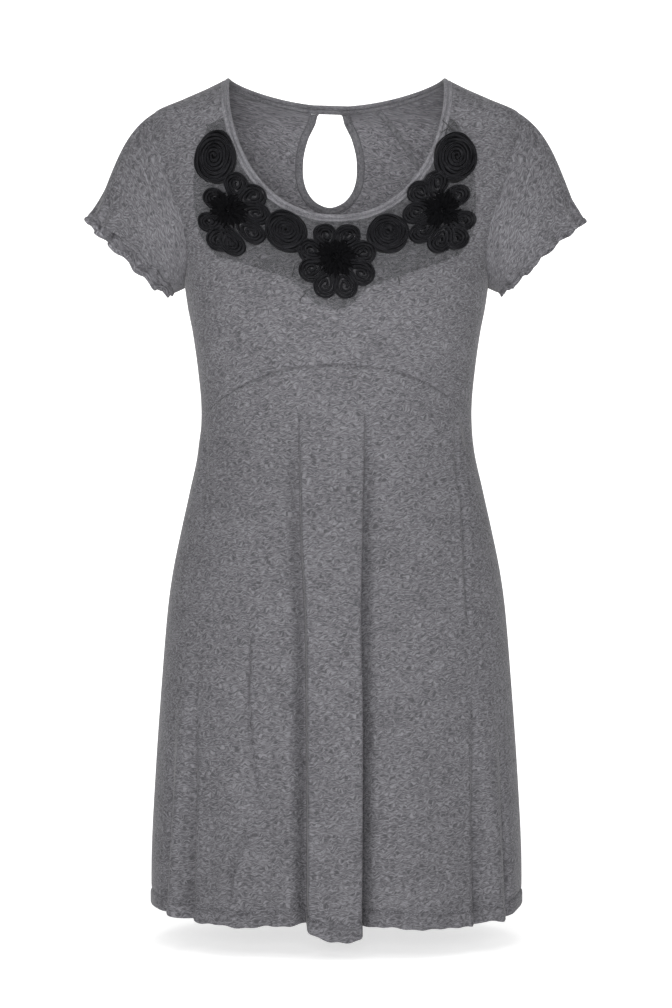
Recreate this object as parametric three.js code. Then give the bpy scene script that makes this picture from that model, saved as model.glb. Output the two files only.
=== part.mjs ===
// A short-sleeved, empire-line jersey dress, hollow and filled out as when it is worn.
// Millimetres, +Z up, the front faces -Y. The origin is on the centre line, midway between the
// high points of the two shoulders. Left and right are those of someone who looks at the front.
// A place on the body is a station: a turn about Z from the centre front towards +X, and a level z.
import * as THREE from "three";

// ---- Driving dimensions ----
const JERSEY = 1.2; // thickness of the cloth wall
const TULLE = 1.0; // thickness of the sheer yoke
const BINDING = { width: 8, proud: 0.5, thickness: 2.2 }; // bias strip sewn round an edge
const SEAM_GAP = 0.3; // clear space between two pieces that are sewn together
const TRIM_LIFT = 1.9; // underside of the ribbon trim above the body, over the tulle
const ROUNDNESS = 2.2; // power of the superellipse that each level of the body follows
const SIDE = Math.PI / 2; // turn of the side seam and of the shoulder seam

// Levels of the body from the shoulders to the hem: half width, and depth in front and behind.
const BODY = [
  { z: 8, half: 94.2, front: 38, back: 47 },
  { z: 0, half: 111.5, front: 46, back: 56 },
  { z: -12, half: 137.4, front: 55, back: 69 },
  { z: -24, half: 163.3, front: 64, back: 80 },
  { z: -35, half: 187, front: 71, back: 88 },
  { z: -45, half: 191, front: 76, back: 92 },
  { z: -67, half: 195, front: 84, back: 98 },
  { z: -100, half: 194, front: 94, back: 103 },
  { z: -125, half: 188, front: 100, back: 105 },
  { z: -162, half: 172, front: 109, back: 106 },
  { z: -190, half: 160, front: 119, back: 105 },
  { z: -216, half: 156, front: 126, back: 102 },
  { z: -240, half: 152.4, front: 128, back: 99 },
  { z: -260, half: 148.3, front: 124, back: 96 },
  { z: -301, half: 142.5, front: 113, back: 90 },
  { z: -342, half: 139, front: 105, back: 86 },
  { z: -383, half: 141.6, front: 104, back: 91 },
  { z: -424, half: 150.4, front: 109, back: 101 },
  { z: -466, half: 159.7, front: 116, back: 112 },
  { z: -507, half: 168, front: 123, back: 120 },
  { z: -548, half: 173.6, front: 128, back: 126 },
  { z: -630, half: 180.3, front: 134, back: 132 },
  { z: -713, half: 186, front: 139, back: 137 },
  { z: -795, half: 190, front: 143, back: 141 },
  { z: -870, half: 190, front: 146, back: 143 },
];

// Neck opening, measured at its free edge.
const NECK = { half: 110, frontDrop: 151, backDrop: 19, frontRoundness: 2.15, backPower: 1.8 };

// Armhole: it falls from the shoulder point to the armpit and cuts forwards and backwards.
const ARMHOLE = { top: -35, bottom: -216, front: 55, back: 55, lowness: 1.25 };

// Empire seam: an arch across the front that drops towards the side seams.
const EMPIRE = { centre: -301, drop: 43.7, at: 134, power: 2.4 };

// Keyhole in the back, off the centre line: half width at each level down to its round foot.
const KEYHOLE_X = -7;
const KEYHOLE = [
  { z: -26, half: 10.5 },
  { z: -36, half: 13.8 },
  { z: -44, half: 18 },
  { z: -52, half: 23 },
  { z: -68, half: 27.6 },
  { z: -83, half: 28.7 },
  { z: -96, half: 27.5 },
  { z: -108, half: 23 },
  { z: -118, half: 14 },
  { z: -123, half: 0 },
];

// Outer edge of the tulle yoke on the right half, from its shoulder tip to its point in front.
const YOKE_EDGE = [
  { x: 131, z: -63 },
  { x: 139, z: -88 },
  { x: 142, z: -115 },
  { x: 141, z: -145 },
  { x: 134, z: -178 },
  { x: 122, z: -189 },
  { x: 95, z: -201 },
  { x: 68, z: -210 },
  { x: 43, z: -217 },
  { x: 33, z: -229 },
  { x: 18, z: -241 },
  { x: 0, z: -245 },
];

// Box pleat of the skirt: its two edges in front, from under the empire seam to the hem.
const PLEAT = { top: -345, rise: 6, sink: 7, step: 3, reach: 16 };
const PLEAT_EDGES = [
  { z: -301, left: -37, right: 28 },
  { z: -466, left: -34, right: 24.5 },
  { z: -549, left: -29.5, right: 22.5 },
  { z: -651, left: -28, right: 24 },
  { z: -870, left: -27, right: 22.5 },
];

// Soft folds of the skirt: each starts at (topX, topZ) and deepens down to hemX at the hem.
const FRONT_FOLDS = [
  { topX: -146, topZ: -560, hemX: -159, width: 10, height: 7 },
  { topX: -140, topZ: -600, hemX: -145, width: 7, height: -5 },
  { topX: -92, topZ: -540, hemX: -108, width: 18, height: 4 },
  { topX: -60, topZ: -520, hemX: -72, width: 14, height: -3 },
  { topX: 60, topZ: -470, hemX: 88, width: 26, height: 5 },
  { topX: 136, topZ: -600, hemX: 144, width: 7, height: -6 },
  { topX: 150, topZ: -560, hemX: 162, width: 10, height: 6 },
];
const BACK_FOLDS = [
  { topX: -110, topZ: -520, hemX: -138, width: 18, height: 7 },
  { topX: -82, topZ: -540, hemX: -98, width: 15, height: -6 },
  { topX: -38, topZ: -450, hemX: -52, width: 24, height: 6 },
  { topX: 4, topZ: -480, hemX: 2, width: 18, height: -5 },
  { topX: 48, topZ: -430, hemX: 60, width: 24, height: 7 },
  { topX: 84, topZ: -540, hemX: 104, width: 16, height: -6 },
  { topX: 112, topZ: -560, hemX: 144, width: 16, height: 6 },
];

// Level of the hem across the front, outside the pleat and on it, and round the back.
const FRONT_HEM = [
  { x: -191, z: -847 },
  { x: -165, z: -850 },
  { x: -135, z: -853.5 },
  { x: -85, z: -856 },
  { x: -28, z: -851.5 },
  { x: 25, z: -852.5 },
  { x: 60, z: -855 },
  { x: 92, z: -858 },
  { x: 143, z: -858 },
  { x: 153, z: -853 },
  { x: 166, z: -857 },
  { x: 191, z: -847 },
];
const PLEAT_HEM = [
  { x: -27, z: -859 },
  { x: 8, z: -869 },
  { x: 23, z: -864 },
];
const BACK_HEM = -857;

// Sleeve, for the right side: an oval mouth that faces down and outwards, with a frilled edge.
const SLEEVE = {
  mouthX: 211,
  mouthZ: -183,
  mouthRise: 36, // from the middle of the mouth up to its outer tip
  mouthReach: 45,
  mouthDepth: 51,
  arm: new THREE.Vector3(0.62, 0, -0.785),
  start: new THREE.Vector3(0.83, 0, -0.5),
  gap: 0.5,
  fullness: 1.15, // length of the tangents at the armhole and at the mouth, for each mm of sleeve
  fall: 0.85,
  frills: 12,
  frill: 3,
};
// How far the front of each mouth is set back along the arm from its rear.
const SLEEVES = [
  { name: "sleeve_left", side: -1, setBack: 6 },
  { name: "sleeve_right", side: 1, setBack: 0 },
];

// Ribbon rosettes and flowers on the yoke. A flower has petals round a shaggy centre.
const ROSETTES = [
  { name: "rosette_shoulder_left", x: -121, z: -88, radius: 22 },
  { name: "rosette_inner_left", x: -51.5, z: -168, radius: 19.5 },
  { name: "rosette_inner_right", x: 51, z: -168.5, radius: 19 },
  { name: "rosette_shoulder_right", x: 117, z: -88, radius: 22 },
];
const FLOWERS = [
  { name: "flower_left", x: -106, z: -148, turn: 0.13 },
  { name: "flower_centre", x: -1, z: -199, turn: 0.4 },
  { name: "flower_right", x: 104.5, z: -145.5, turn: -0.08 },
];
const ROSETTE_HEIGHT = 8;
const PETALS = 8;
const PETAL_HEIGHT = 6;
const CENTRE = { radius: 13.5, height: 12 };
// Half of a petal's outline: distance from the middle of the flower, and half width there.
const PETAL = [
  { out: 14.2, half: 4 },
  { out: 20, half: 7 },
  { out: 27, half: 9.8 },
  { out: 33, half: 9.4 },
  { out: 37, half: 5.5 },
];

// ---- Sampling: how many quads each piece is cut into ----
const ARMHOLE_STEPS = 12;
const FRONT_ROWS = { aboveYoke: 3, side: 3, seam: 7 };
const FRONT_COLUMNS = { yoke: 3, below: 4 };
const YOKE_START = 0.31; // how far down the neckline the yoke begins
const BACK_ROWS = { neck: 4, side: 15 };
const BACK_COLUMNS = 9;
const SKIRT_ROWS = 11;
const SKIRT_COLUMNS = { side: 13, pleat: 6 };
const SLEEVE_ROWS = [0, 0.3, 0.6, 0.86, 1];

const { lerp, clamp, smoothstep } = THREE.MathUtils;

// ---- The body ----

// Smooth value of a named column of a table, at a place between two rows.
function valueAt(table, column, place, key = "z") {
  const last = table.length - 1;
  const way = Math.sign(table[last][key] - table[0][key]);
  let row = 0;
  while (row < last - 1 && (place - table[row + 1][key]) * way > 0) row += 1;
  const [from, to] = [table[row], table[row + 1]];
  const span = to[key] - from[key];
  const slope = (index) => {
    const before = table[Math.max(index - 1, 0)];
    const after = table[Math.min(index + 1, last)];
    return ((after[column] - before[column]) / (after[key] - before[key])) * span;
  };
  const t = clamp((place - from[key]) / span, 0, 1);
  const rise = to[column] - from[column];
  const bend = (slope(row) - rise) * (1 - t) - (slope(row + 1) - rise) * t;
  return from[column] + rise * t + bend * t * (1 - t);
}

// Value of a column on the straight line between two rows of a table.
function straightAt(table, column, place, key) {
  let row = 0;
  while (row < table.length - 2 && place > table[row + 1][key]) row += 1;
  const [from, to] = [table[row], table[row + 1]];
  const t = clamp((place - from[key]) / (to[key] - from[key]), 0, 1);
  return lerp(from[column], to[column], t);
}

const count = (steps, value) => Array.from({ length: steps + 1 }, (_, step) => value(step));
const oval = (ratio) => Math.sign(ratio) * Math.abs(ratio) ** (2 / ROUNDNESS);
const depthAt = (turn, z) => valueAt(BODY, Math.cos(turn) > 0 ? "front" : "back", z);

// Point of the smooth body, without folds.
function barePoint(turn, z) {
  const x = valueAt(BODY, "half", z) * oval(Math.sin(turn));
  return new THREE.Vector3(x, -depthAt(turn, z) * oval(Math.cos(turn)), z);
}

// Turn of the point with a given x at a level, on the front or on the back.
function turnOf(x, z, face = "front") {
  const ratio = Math.min(Math.abs(x) / valueAt(BODY, "half", z), 1);
  const turn = Math.asin(ratio ** (ROUNDNESS / 2));
  return Math.sign(x) * (face === "front" ? turn : Math.PI - turn);
}

// Turn of the front edge of the side seam, or of the back edge, half a gap from the seam itself.
function seamTurn(face, z) {
  const depth = valueAt(BODY, face, z);
  const away = Math.asin((SEAM_GAP / 2 / depth) ** (ROUNDNESS / 2));
  return face === "front" ? SIDE - away : SIDE + away;
}

// Height of the box pleat above the body: a raised panel with a step down at each edge.
function pleatHeight(x, z) {
  const outside = Math.max(
    valueAt(PLEAT_EDGES, "left", z) - x,
    x - valueAt(PLEAT_EDGES, "right", z),
  );
  const grown = clamp((PLEAT.top - z) / (PLEAT.top - BODY.at(-1).z), 0, 1) ** 0.6;
  if (outside < PLEAT.step)
    return grown * lerp(PLEAT.rise, -PLEAT.sink, clamp(outside / PLEAT.step, 0, 1));
  return -grown * PLEAT.sink * Math.exp(-(((outside - PLEAT.step) / PLEAT.reach) ** 2));
}

// Height of all the skirt's folds above the body. They die away towards the side seams.
function foldHeight(turn, z) {
  const bare = barePoint(turn, z);
  const inFront = Math.cos(turn) > 0;
  let height = inFront ? pleatHeight(bare.x, z) : 0;
  for (const fold of inFront ? FRONT_FOLDS : BACK_FOLDS) {
    const down = clamp((fold.topZ - z) / (fold.topZ - BODY.at(-1).z), 0, 1);
    const off = (bare.x - lerp(fold.topX, fold.hemX, down)) / fold.width;
    height += fold.height * smoothstep(down, 0, 1) * Math.exp(-off * off);
  }
  return height * (1 - Math.abs(Math.sin(turn)) ** 16);
}

// Outward normal of a surface that is given as a function of the turn and the level.
function normalOf(surface, turn, z) {
  const across = surface(turn + 0.008, z).sub(surface(turn - 0.008, z));
  const up = surface(turn, z + 1).sub(surface(turn, z - 1));
  return across.cross(up).normalize();
}

// Point of the dress at a station, lifted off it along the normal.
function bodyPoint(turn, z, lift = 0) {
  const bare = barePoint(turn, z);
  const height = z < PLEAT.top ? foldHeight(turn, z) : 0;
  if (height) bare.addScaledVector(normalOf(barePoint, turn, z), height);
  if (lift) bare.addScaledVector(normalOf(bodyPoint, turn, z), lift);
  return bare;
}

// Level at which the shoulder seam has a given x.
function shoulderLevel(x) {
  let [low, high] = [ARMHOLE.top, BODY[0].z];
  for (let step = 0; step < 30; step += 1) {
    const middle = (low + high) / 2;
    if (valueAt(BODY, "half", middle) > x) low = middle;
    else high = middle;
  }
  return low;
}

// ---- Edges, as lists of stations ----

// A station of the front neckline: down runs from the shoulder (0) to the centre (1).
function frontNeck(down, out) {
  const reach = NECK.half + out;
  const top = shoulderLevel(reach);
  const sweep = SIDE * down ** 1.5;
  const x = reach * Math.cos(sweep) ** (2 / NECK.frontRoundness);
  const z = top - (NECK.frontDrop + out + top) * Math.sin(sweep) ** (2 / NECK.frontRoundness);
  return { turn: down === 0 ? seamTurn("front", z) : turnOf(x, z), z };
}

// A station of the back neckline on one side, from the shoulder (0) to the keyhole (1).
function backNeck(side, across, out) {
  const reach = NECK.half + out;
  const top = shoulderLevel(reach);
  const corner = (KEYHOLE_X * side + KEYHOLE[0].half + BINDING.width + SEAM_GAP) / reach;
  const ratio = lerp(1, (corner * reach) / (NECK.half + BINDING.width), across ** 1.6);
  const z = top - (NECK.backDrop + out + top) * (1 - Math.abs(ratio) ** NECK.backPower);
  return { turn: across === 0 ? seamTurn("back", z) : turnOf(ratio * reach, z, "back"), z };
}

// A station of the armhole, from the shoulder point (0) to the armpit (1).
function armholeAt(face, down) {
  const middle = (ARMHOLE.top + ARMHOLE.bottom) / 2;
  const z = middle + (ARMHOLE.top - middle) * Math.cos(Math.PI * down);
  const y = ARMHOLE[face] * Math.sin(Math.PI * down ** ARMHOLE.lowness);
  const turn = Math.acos((y / valueAt(BODY, face, z)) ** (ROUNDNESS / 2));
  const edge = seamTurn(face, z);
  return { turn: face === "front" ? Math.min(turn, edge) : Math.max(Math.PI - turn, edge), z };
}

// Level of the empire seam at a given x.
const empireLevel = (x) =>
  EMPIRE.centre - EMPIRE.drop * (Math.abs(x) / EMPIRE.at) ** EMPIRE.power;

// A level on the empire seam, along a line whose turn depends on the level.
function empireOn(turnAt, levelAt = empireLevel) {
  let z = EMPIRE.centre;
  for (let step = 0; step < 12; step += 1) z = levelAt(Math.abs(barePoint(turnAt(z), z).x));
  return z;
}

// The seam is sewn in straight stretches, from the side to the centre, that both panels share.
const EMPIRE_NODES = count(FRONT_ROWS.seam, (step) => {
  const turn = SIDE * (1 - step / FRONT_ROWS.seam);
  const z = empireOn((level) => Math.min(turn, seamTurn("front", level)));
  return { turn, x: barePoint(turn, z).x, z };
});
const straightEmpire = (x) => straightAt(EMPIRE_NODES.toReversed(), "z", x, "x");

// Stations at equal steps of length along a table of x and z on the front.
function alongFront(table, steps) {
  const points = table.map(({ x, z }) => new THREE.Vector3(x, 0, z));
  const path = new THREE.CurvePath();
  points.slice(1).forEach((point, index) => path.add(new THREE.LineCurve3(points[index], point)));
  const spots = count(steps, (step) => path.getPointAt(step / steps));
  return spots.map((spot) => ({ turn: turnOf(spot.x, spot.z), z: spot.z }));
}

// The keyhole's outline on one side, moved out into the cloth.
function keyholeEdge(side, out, top) {
  return KEYHOLE.map((row, index) => {
    const before = KEYHOLE[Math.max(index - 1, 0)];
    const after = KEYHOLE[Math.min(index + 1, KEYHOLE.length - 1)];
    const foot = index === KEYHOLE.length - 1;
    const along = new THREE.Vector2(after.half - before.half, after.z - before.z).normalize();
    const x = KEYHOLE_X + side * (foot ? 0 : row.half - along.y * out);
    const z = row.z + (foot ? -out : along.x * out);
    return index === 0
      ? { turn: turnOf(KEYHOLE_X + side * (row.half + out), top, "back"), z: top }
      : { turn: turnOf(x, z, "back"), z };
  });
}

// ---- Sheets and walls ----

const between = (from, to, t) => ({ turn: lerp(from.turn, to.turn, t), z: lerp(from.z, to.z, t) });
const mirrored = (station, side) => ({ turn: station.turn * side, z: station.z });

// A sheet of quads over a grid of points, with the normal at each point.
// The grid's rows run down and its columns towards +X on the front, or flip turns the faces round.
function sheetOf(grid, flip = false, closed = false) {
  const wide = grid[0].length;
  const corners = grid.flat();
  const triangles = [];
  for (let row = 0; row < grid.length - 1; row += 1)
    for (let column = 0; column < (closed ? wide : wide - 1); column += 1) {
      const next = (column + 1) % wide;
      const [a, b] = [row * wide + column, row * wide + next];
      const [c, d] = [a + wide, b + wide];
      triangles.push([a, c, d], [a, d, b]);
    }
  if (flip) triangles.forEach((triangle) => triangle.reverse());
  return { corners, triangles };
}

// Grid of corners on the dress for a grid of stations.
const onBody = (stations) =>
  stations.map((row) =>
    row.map(({ turn, z }) => ({
      point: bodyPoint(turn, z),
      normal: normalOf(bodyPoint, turn, z),
    })),
  );

// Two sheets that share an edge, joined along it.
function joined(first, second) {
  const spot = ({ point }) => point.toArray().map((value) => value.toFixed(3)).join();
  const known = new Map(first.corners.map((corner, index) => [spot(corner), index]));
  const corners = [...first.corners];
  const renamed = second.corners.map((corner) => {
    const key = spot(corner);
    if (!known.has(key)) known.set(key, corners.push(corner) - 1);
    return known.get(key);
  });
  const moved = second.triangles.map((triangle) => triangle.map((index) => renamed[index]));
  return { corners, triangles: [...first.triangles, ...moved] };
}

// A closed solid from corner positions and triangles that face out.
function solid(positions, triangles) {
  const geometry = new THREE.BufferGeometry().setFromPoints(positions);
  geometry.setIndex(triangles.flat());
  geometry.computeVertexNormals();
  return geometry;
}

// A wall of cloth: the sheet at its lift, a copy inside it, and a rim along each free edge.
function wall({ corners, triangles }, thickness, lift = 0) {
  const layer = (height) =>
    corners.map(({ point, normal }) => point.clone().addScaledVector(normal, height));
  const inside = corners.length;
  const edges = new Set();
  for (const [a, b, c] of triangles)
    for (const edge of [[a, b], [b, c], [c, a]]) edges.add(edge.join());
  const faces = triangles.flatMap(([a, b, c]) => [[a, b, c], [a + inside, c + inside, b + inside]]);
  for (const edge of edges) {
    const [from, to] = edge.split(",").map(Number);
    if (edges.has([to, from].join())) continue;
    faces.push([to, from, from + inside], [to, from + inside, to + inside]);
  }
  return solid([...layer(lift), ...layer(lift - thickness)], faces);
}

// ---- Finishes ----

const finish = (color, roughness) => () =>
  new THREE.MeshStandardMaterial({ color, roughness, metalness: 0 });
const heatherJersey = finish(0x75757a, 0.92);
const blackTulle = finish(0x3c3c41, 0.8);
const blackRibbon = finish(0x17171a, 0.62);
const blackThread = finish(0x0e0e10, 0.75);

const dress = new THREE.Group();

function place(name, geometry, material) {
  const mesh = new THREE.Mesh(geometry, material());
  mesh.name = name;
  dress.add(mesh);
}

// ---- Front bodice and the yoke that lies on it ----

const EDGE = BINDING.width + SEAM_GAP; // from the neck's free edge to the panels
const frontRows = ARMHOLE_STEPS + FRONT_ROWS.side + FRONT_ROWS.seam;

// How far down the neckline each row of the bodice starts.
function neckShare(row) {
  if (row <= FRONT_ROWS.aboveYoke) return (YOKE_START * row) / FRONT_ROWS.aboveYoke;
  return lerp(YOKE_START, 1, (row - FRONT_ROWS.aboveYoke) / (frontRows - FRONT_ROWS.aboveYoke));
}

// The bodice's outer edge: armhole, side seam, and the empire seam to the centre.
function bodiceOuter(row) {
  if (row <= ARMHOLE_STEPS) return armholeAt("front", row / ARMHOLE_STEPS);
  const down = (row - ARMHOLE_STEPS) / FRONT_ROWS.side;
  if (down <= 1) {
    const z = lerp(ARMHOLE.bottom, EMPIRE_NODES[0].z + SEAM_GAP / 2, down);
    return { turn: seamTurn("front", z), z };
  }
  const node = EMPIRE_NODES[row - ARMHOLE_STEPS - FRONT_ROWS.side];
  return { turn: node.turn, z: node.z + SEAM_GAP / 2 };
}

// Rows of stations that run from the neck, over the yoke's edge, to the bodice's outer edge.
function bodiceStations() {
  const yokeEdge = alongFront(YOKE_EDGE, frontRows - FRONT_ROWS.aboveYoke);
  const shoulder = shoulderLevel(YOKE_EDGE[0].x + BINDING.width);
  const seam = { turn: seamTurn("front", shoulder), z: shoulder };
  return count(frontRows, (row) => {
    const neck = frontNeck(neckShare(row), EDGE);
    const above = between(seam, yokeEdge[0], row / FRONT_ROWS.aboveYoke);
    const middle = row < FRONT_ROWS.aboveYoke ? above : yokeEdge[row - FRONT_ROWS.aboveYoke];
    const outer = bodiceOuter(row);
    const { yoke, below } = FRONT_COLUMNS;
    const overYoke = count(yoke, (step) => between(neck, middle, step / yoke));
    const beyond = count(below, (step) => between(middle, outer, step / below));
    return [...overYoke, ...beyond.slice(1)];
  });
}

// Both halves of a piece from the stations of its right half.
function bothHalves(stations) {
  const turned = (side) => stations.map((row) => row.map((station) => mirrored(station, side)));
  return joined(sheetOf(onBody(turned(1))), sheetOf(onBody(turned(-1)), true));
}

const bodice = bodiceStations();
place("front_bodice", wall(bothHalves(bodice), JERSEY), heatherJersey);

const yoke = bodice
  .slice(FRONT_ROWS.aboveYoke)
  .map((row) => row.slice(0, FRONT_COLUMNS.yoke + 1));
place("tulle_yoke", wall(bothHalves(yoke), TULLE, TULLE + SEAM_GAP), blackTulle);

// ---- Front skirt with its box pleat ----

const pleatPlace = SKIRT_COLUMNS.pleat / 2;
const stepPlace = pleatPlace + 1;
const sidePlace = stepPlace + SKIRT_COLUMNS.side;

// Turn of a column of the skirt: columns keep to the pleat's edges and to the foot of its steps.
function skirtTurn(column, z) {
  const side = Math.sign(column);
  const edge = valueAt(PLEAT_EDGES, side < 0 ? "left" : "right", z);
  const [from, to] = [turnOf(edge, z), turnOf(edge + side * PLEAT.step, z)];
  const place = Math.abs(column);
  if (place <= pleatPlace) {
    const other = turnOf(valueAt(PLEAT_EDGES, side < 0 ? "right" : "left", z), z);
    return lerp(from, other, (1 - place / pleatPlace) / 2);
  }
  if (place <= stepPlace) return lerp(from, to, place - pleatPlace);
  return lerp(to, side * seamTurn("front", z), (place - stepPlace) / SKIRT_COLUMNS.side);
}

function skirtHem(column) {
  const level = BODY.at(-1).z;
  const { x } = barePoint(skirtTurn(column, level), level);
  if (Math.abs(column) <= pleatPlace) return straightAt(PLEAT_HEM, "z", x, "x");
  return straightAt(FRONT_HEM, "z", x, "x");
}

const skirtGrid = count(SKIRT_ROWS, (row) =>
  count(2 * sidePlace, (step) => {
    const column = step - sidePlace;
    const top = empireOn((z) => skirtTurn(column, z), straightEmpire) - SEAM_GAP / 2;
    const z = lerp(top, skirtHem(column), row / SKIRT_ROWS);
    return { turn: skirtTurn(column, z), z };
  }),
);
place("front_skirt", wall(sheetOf(onBody(skirtGrid)), JERSEY), heatherJersey);

// ---- Back, with the keyhole ----

const keyholeSteps = KEYHOLE.length - 1;
const backRows = ARMHOLE_STEPS + BACK_ROWS.side;
const centreSteps = backRows - BACK_ROWS.neck - keyholeSteps;

// The back's inner edge on one side: neckline, keyhole, and the centre down to the hem.
function backInner(side, row) {
  if (row < BACK_ROWS.neck) return backNeck(side, row / BACK_ROWS.neck, EDGE);
  const corner = backNeck(side, 1, EDGE);
  const edge = keyholeEdge(side, EDGE, corner.z).map(({ turn, z }) => ({ turn: turn * side, z }));
  const below = row - BACK_ROWS.neck;
  if (below <= keyholeSteps) return unwound(edge[below]);
  const z = lerp(edge.at(-1).z, BACK_HEM, (below - keyholeSteps) / centreSteps);
  return unwound({ turn: turnOf(KEYHOLE_X, z, "back") * side, z });
}

// The same station with its turn counted on from the side that it belongs to.
function unwound({ turn, z }) {
  return { turn: turn < 0 ? turn + 2 * Math.PI : turn, z };
}

function backOuter(row) {
  if (row <= ARMHOLE_STEPS) return armholeAt("back", row / ARMHOLE_STEPS);
  const foot = FRONT_HEM[0].z;
  const z = lerp(ARMHOLE.bottom, foot, (row - ARMHOLE_STEPS) / BACK_ROWS.side);
  return { turn: seamTurn("back", z), z };
}

function backHalf(side) {
  const stations = count(backRows, (row) =>
    count(BACK_COLUMNS, (column) =>
      mirrored(between(backInner(side, row), backOuter(row), column / BACK_COLUMNS), side),
    ),
  );
  return sheetOf(onBody(stations), side > 0);
}
place("back", wall(joined(backHalf(1), backHalf(-1)), JERSEY), heatherJersey);

// ---- Bindings ----

// A strip between two lists of stations, as a wall that stands a little proud of the body.
function strip(inner, outer, flip, closed) {
  const sheet = sheetOf(onBody([inner, outer]), flip, closed);
  return wall(sheet, BINDING.thickness, BINDING.proud);
}

// The whole neckline at a distance from its free edge, round from the right shoulder.
function neckRing(out) {
  const shoulder = { turn: SIDE, z: shoulderLevel(NECK.half + out) };
  const front = count(frontRows, (row) => frontNeck(neckShare(row), out)).slice(1);
  const back = (side) =>
    count(BACK_ROWS.neck, (step) => backNeck(side, step / BACK_ROWS.neck, out)).slice(1);
  const leftFront = front.slice(0, -1).reverse();
  return [
    shoulder,
    ...front,
    ...leftFront.map((station) => mirrored(station, -1)),
    mirrored(shoulder, -1),
    ...back(-1).map((station) => mirrored(station, -1)),
    ...back(1).reverse(),
  ];
}
place("neck_binding", strip(neckRing(0), neckRing(BINDING.width), true, true), heatherJersey);

// The strip round the keyhole, from one top corner down round the foot to the other.
function keyholeRing(out) {
  const top = Math.min(...[1, -1].map((side) => backNeck(side, 1, EDGE).z));
  const right = keyholeEdge(1, out, top);
  const left = keyholeEdge(-1, out, top).slice(0, -1).reverse();
  return [...right, ...left];
}
place("keyhole_binding", strip(keyholeRing(0), keyholeRing(BINDING.width), false, false), heatherJersey);

// ---- Sleeves ----

// A point between two armhole stations, on the straight line that the panels' edges follow.
function armholePoint(face, down) {
  const step = Math.min(Math.floor(down * ARMHOLE_STEPS), ARMHOLE_STEPS - 1);
  const [from, to] = [step, step + 1].map((index) => {
    const { turn, z } = armholeAt(face, index / ARMHOLE_STEPS);
    return bodyPoint(turn, z);
  });
  return from.lerp(to, down * ARMHOLE_STEPS - step);
}

// A point of the right sleeve: round runs from the shoulder over the front, along to the mouth.
function sleevePoint(round, along, setBack) {
  const sweep = 2 * Math.PI * round;
  const face = round <= 0.5 ? "front" : "back";
  const start = armholePoint(face, round <= 0.5 ? 2 * round : 2 - 2 * round);
  start.addScaledVector(SLEEVE.start, SLEEVE.gap);
  const forwards = Math.sin(sweep);
  const end = new THREE.Vector3(
    SLEEVE.mouthX + SLEEVE.mouthReach * Math.cos(sweep),
    -SLEEVE.mouthDepth * forwards,
    SLEEVE.mouthZ + SLEEVE.mouthRise * Math.cos(sweep),
  );
  end.addScaledVector(SLEEVE.arm, -setBack * forwards);
  const length = start.distanceTo(end);
  const leave = SLEEVE.start.clone().multiplyScalar(length * SLEEVE.fullness);
  const arrive = SLEEVE.arm.clone().multiplyScalar(length * SLEEVE.fall);
  const [s, t] = [along, 1 - along];
  const point = start.multiplyScalar(t * t * (1 + 2 * s));
  point.addScaledVector(end, s * s * (3 - 2 * s));
  point.addScaledVector(leave, s * t * t);
  point.addScaledVector(arrive, -s * s * t);
  const centre = new THREE.Vector3(SLEEVE.mouthX, 0, SLEEVE.mouthZ);
  const outwards = end.clone().sub(centre).normalize();
  const wave = SLEEVE.frill * smoothstep(along, 0.6, 1) * Math.min(1, length / 40);
  point.addScaledVector(outwards, wave * Math.cos(SLEEVE.frills * sweep));
  return point;
}

function sleeve({ name, side, setBack }) {
  const around = 4 * ARMHOLE_STEPS;
  const points = SLEEVE_ROWS.map((along) =>
    count(around - 1, (step) => {
      const point = sleevePoint(step / around, along, setBack);
      return point.setX(point.x * side);
    }),
  );
  const grid = points.map((ring, row) =>
    ring.map((point, index) => {
      const across = ring[(index + 1) % around].clone().sub(ring.at(index - 1));
      const down = points[Math.min(row + 1, points.length - 1)][index].clone();
      down.sub(points[Math.max(row - 1, 0)][index]);
      return { point, normal: down.cross(across).multiplyScalar(side).negate().normalize() };
    }),
  );
  place(name, wall(sheetOf(grid, side > 0, true), JERSEY), heatherJersey);
}
SLEEVES.forEach(sleeve);

// ---- Ribbon trim ----

// The station that lies a distance across and up the body from another.
function nearby({ turn, z }, across, up) {
  let spot = { turn, z };
  for (let step = 0; step < 3; step += 1) {
    const middle = between({ turn, z }, spot, 0.5);
    const here = bodyPoint(middle.turn, middle.z);
    const wide = bodyPoint(middle.turn + 0.01, middle.z).distanceTo(here);
    const tall = bodyPoint(middle.turn, middle.z + 1).distanceTo(here);
    spot = { turn: turn + (0.01 * across) / wide, z: z + up / tall };
  }
  return spot;
}

// A closed solid between a low middle point and a high one, through rings of points.
function stack(rings, low, high) {
  const sides = rings[0].length;
  const positions = [low, ...rings.flat(), high];
  const top = positions.length - 1;
  const faces = [];
  for (let index = 0; index < sides; index += 1) {
    const next = (index + 1) % sides;
    faces.push([0, 1 + next, 1 + index]);
    for (let ring = 0; ring < rings.length - 1; ring += 1) {
      const [a, b] = [1 + ring * sides + index, 1 + ring * sides + next];
      faces.push([a, b, b + sides], [a, b + sides, a + sides]);
    }
    faces.push([top - sides + index, top - sides + next, top]);
  }
  return solid(positions, faces);
}

// A low round cushion of wound ribbon.
function cushion(station, sides, profile) {
  const ringAt = ({ radius, height }) =>
    count(sides - 1, (step) => {
      const angle = (2 * Math.PI * step) / sides;
      const spot = nearby(station, radius * Math.cos(angle), radius * Math.sin(angle));
      return bodyPoint(spot.turn, spot.z, TRIM_LIFT + height);
    });
  const middleAt = (height) => bodyPoint(station.turn, station.z, TRIM_LIFT + height);
  return stack(profile.map(ringAt), middleAt(0), middleAt(profile.at(-1).height));
}

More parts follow.
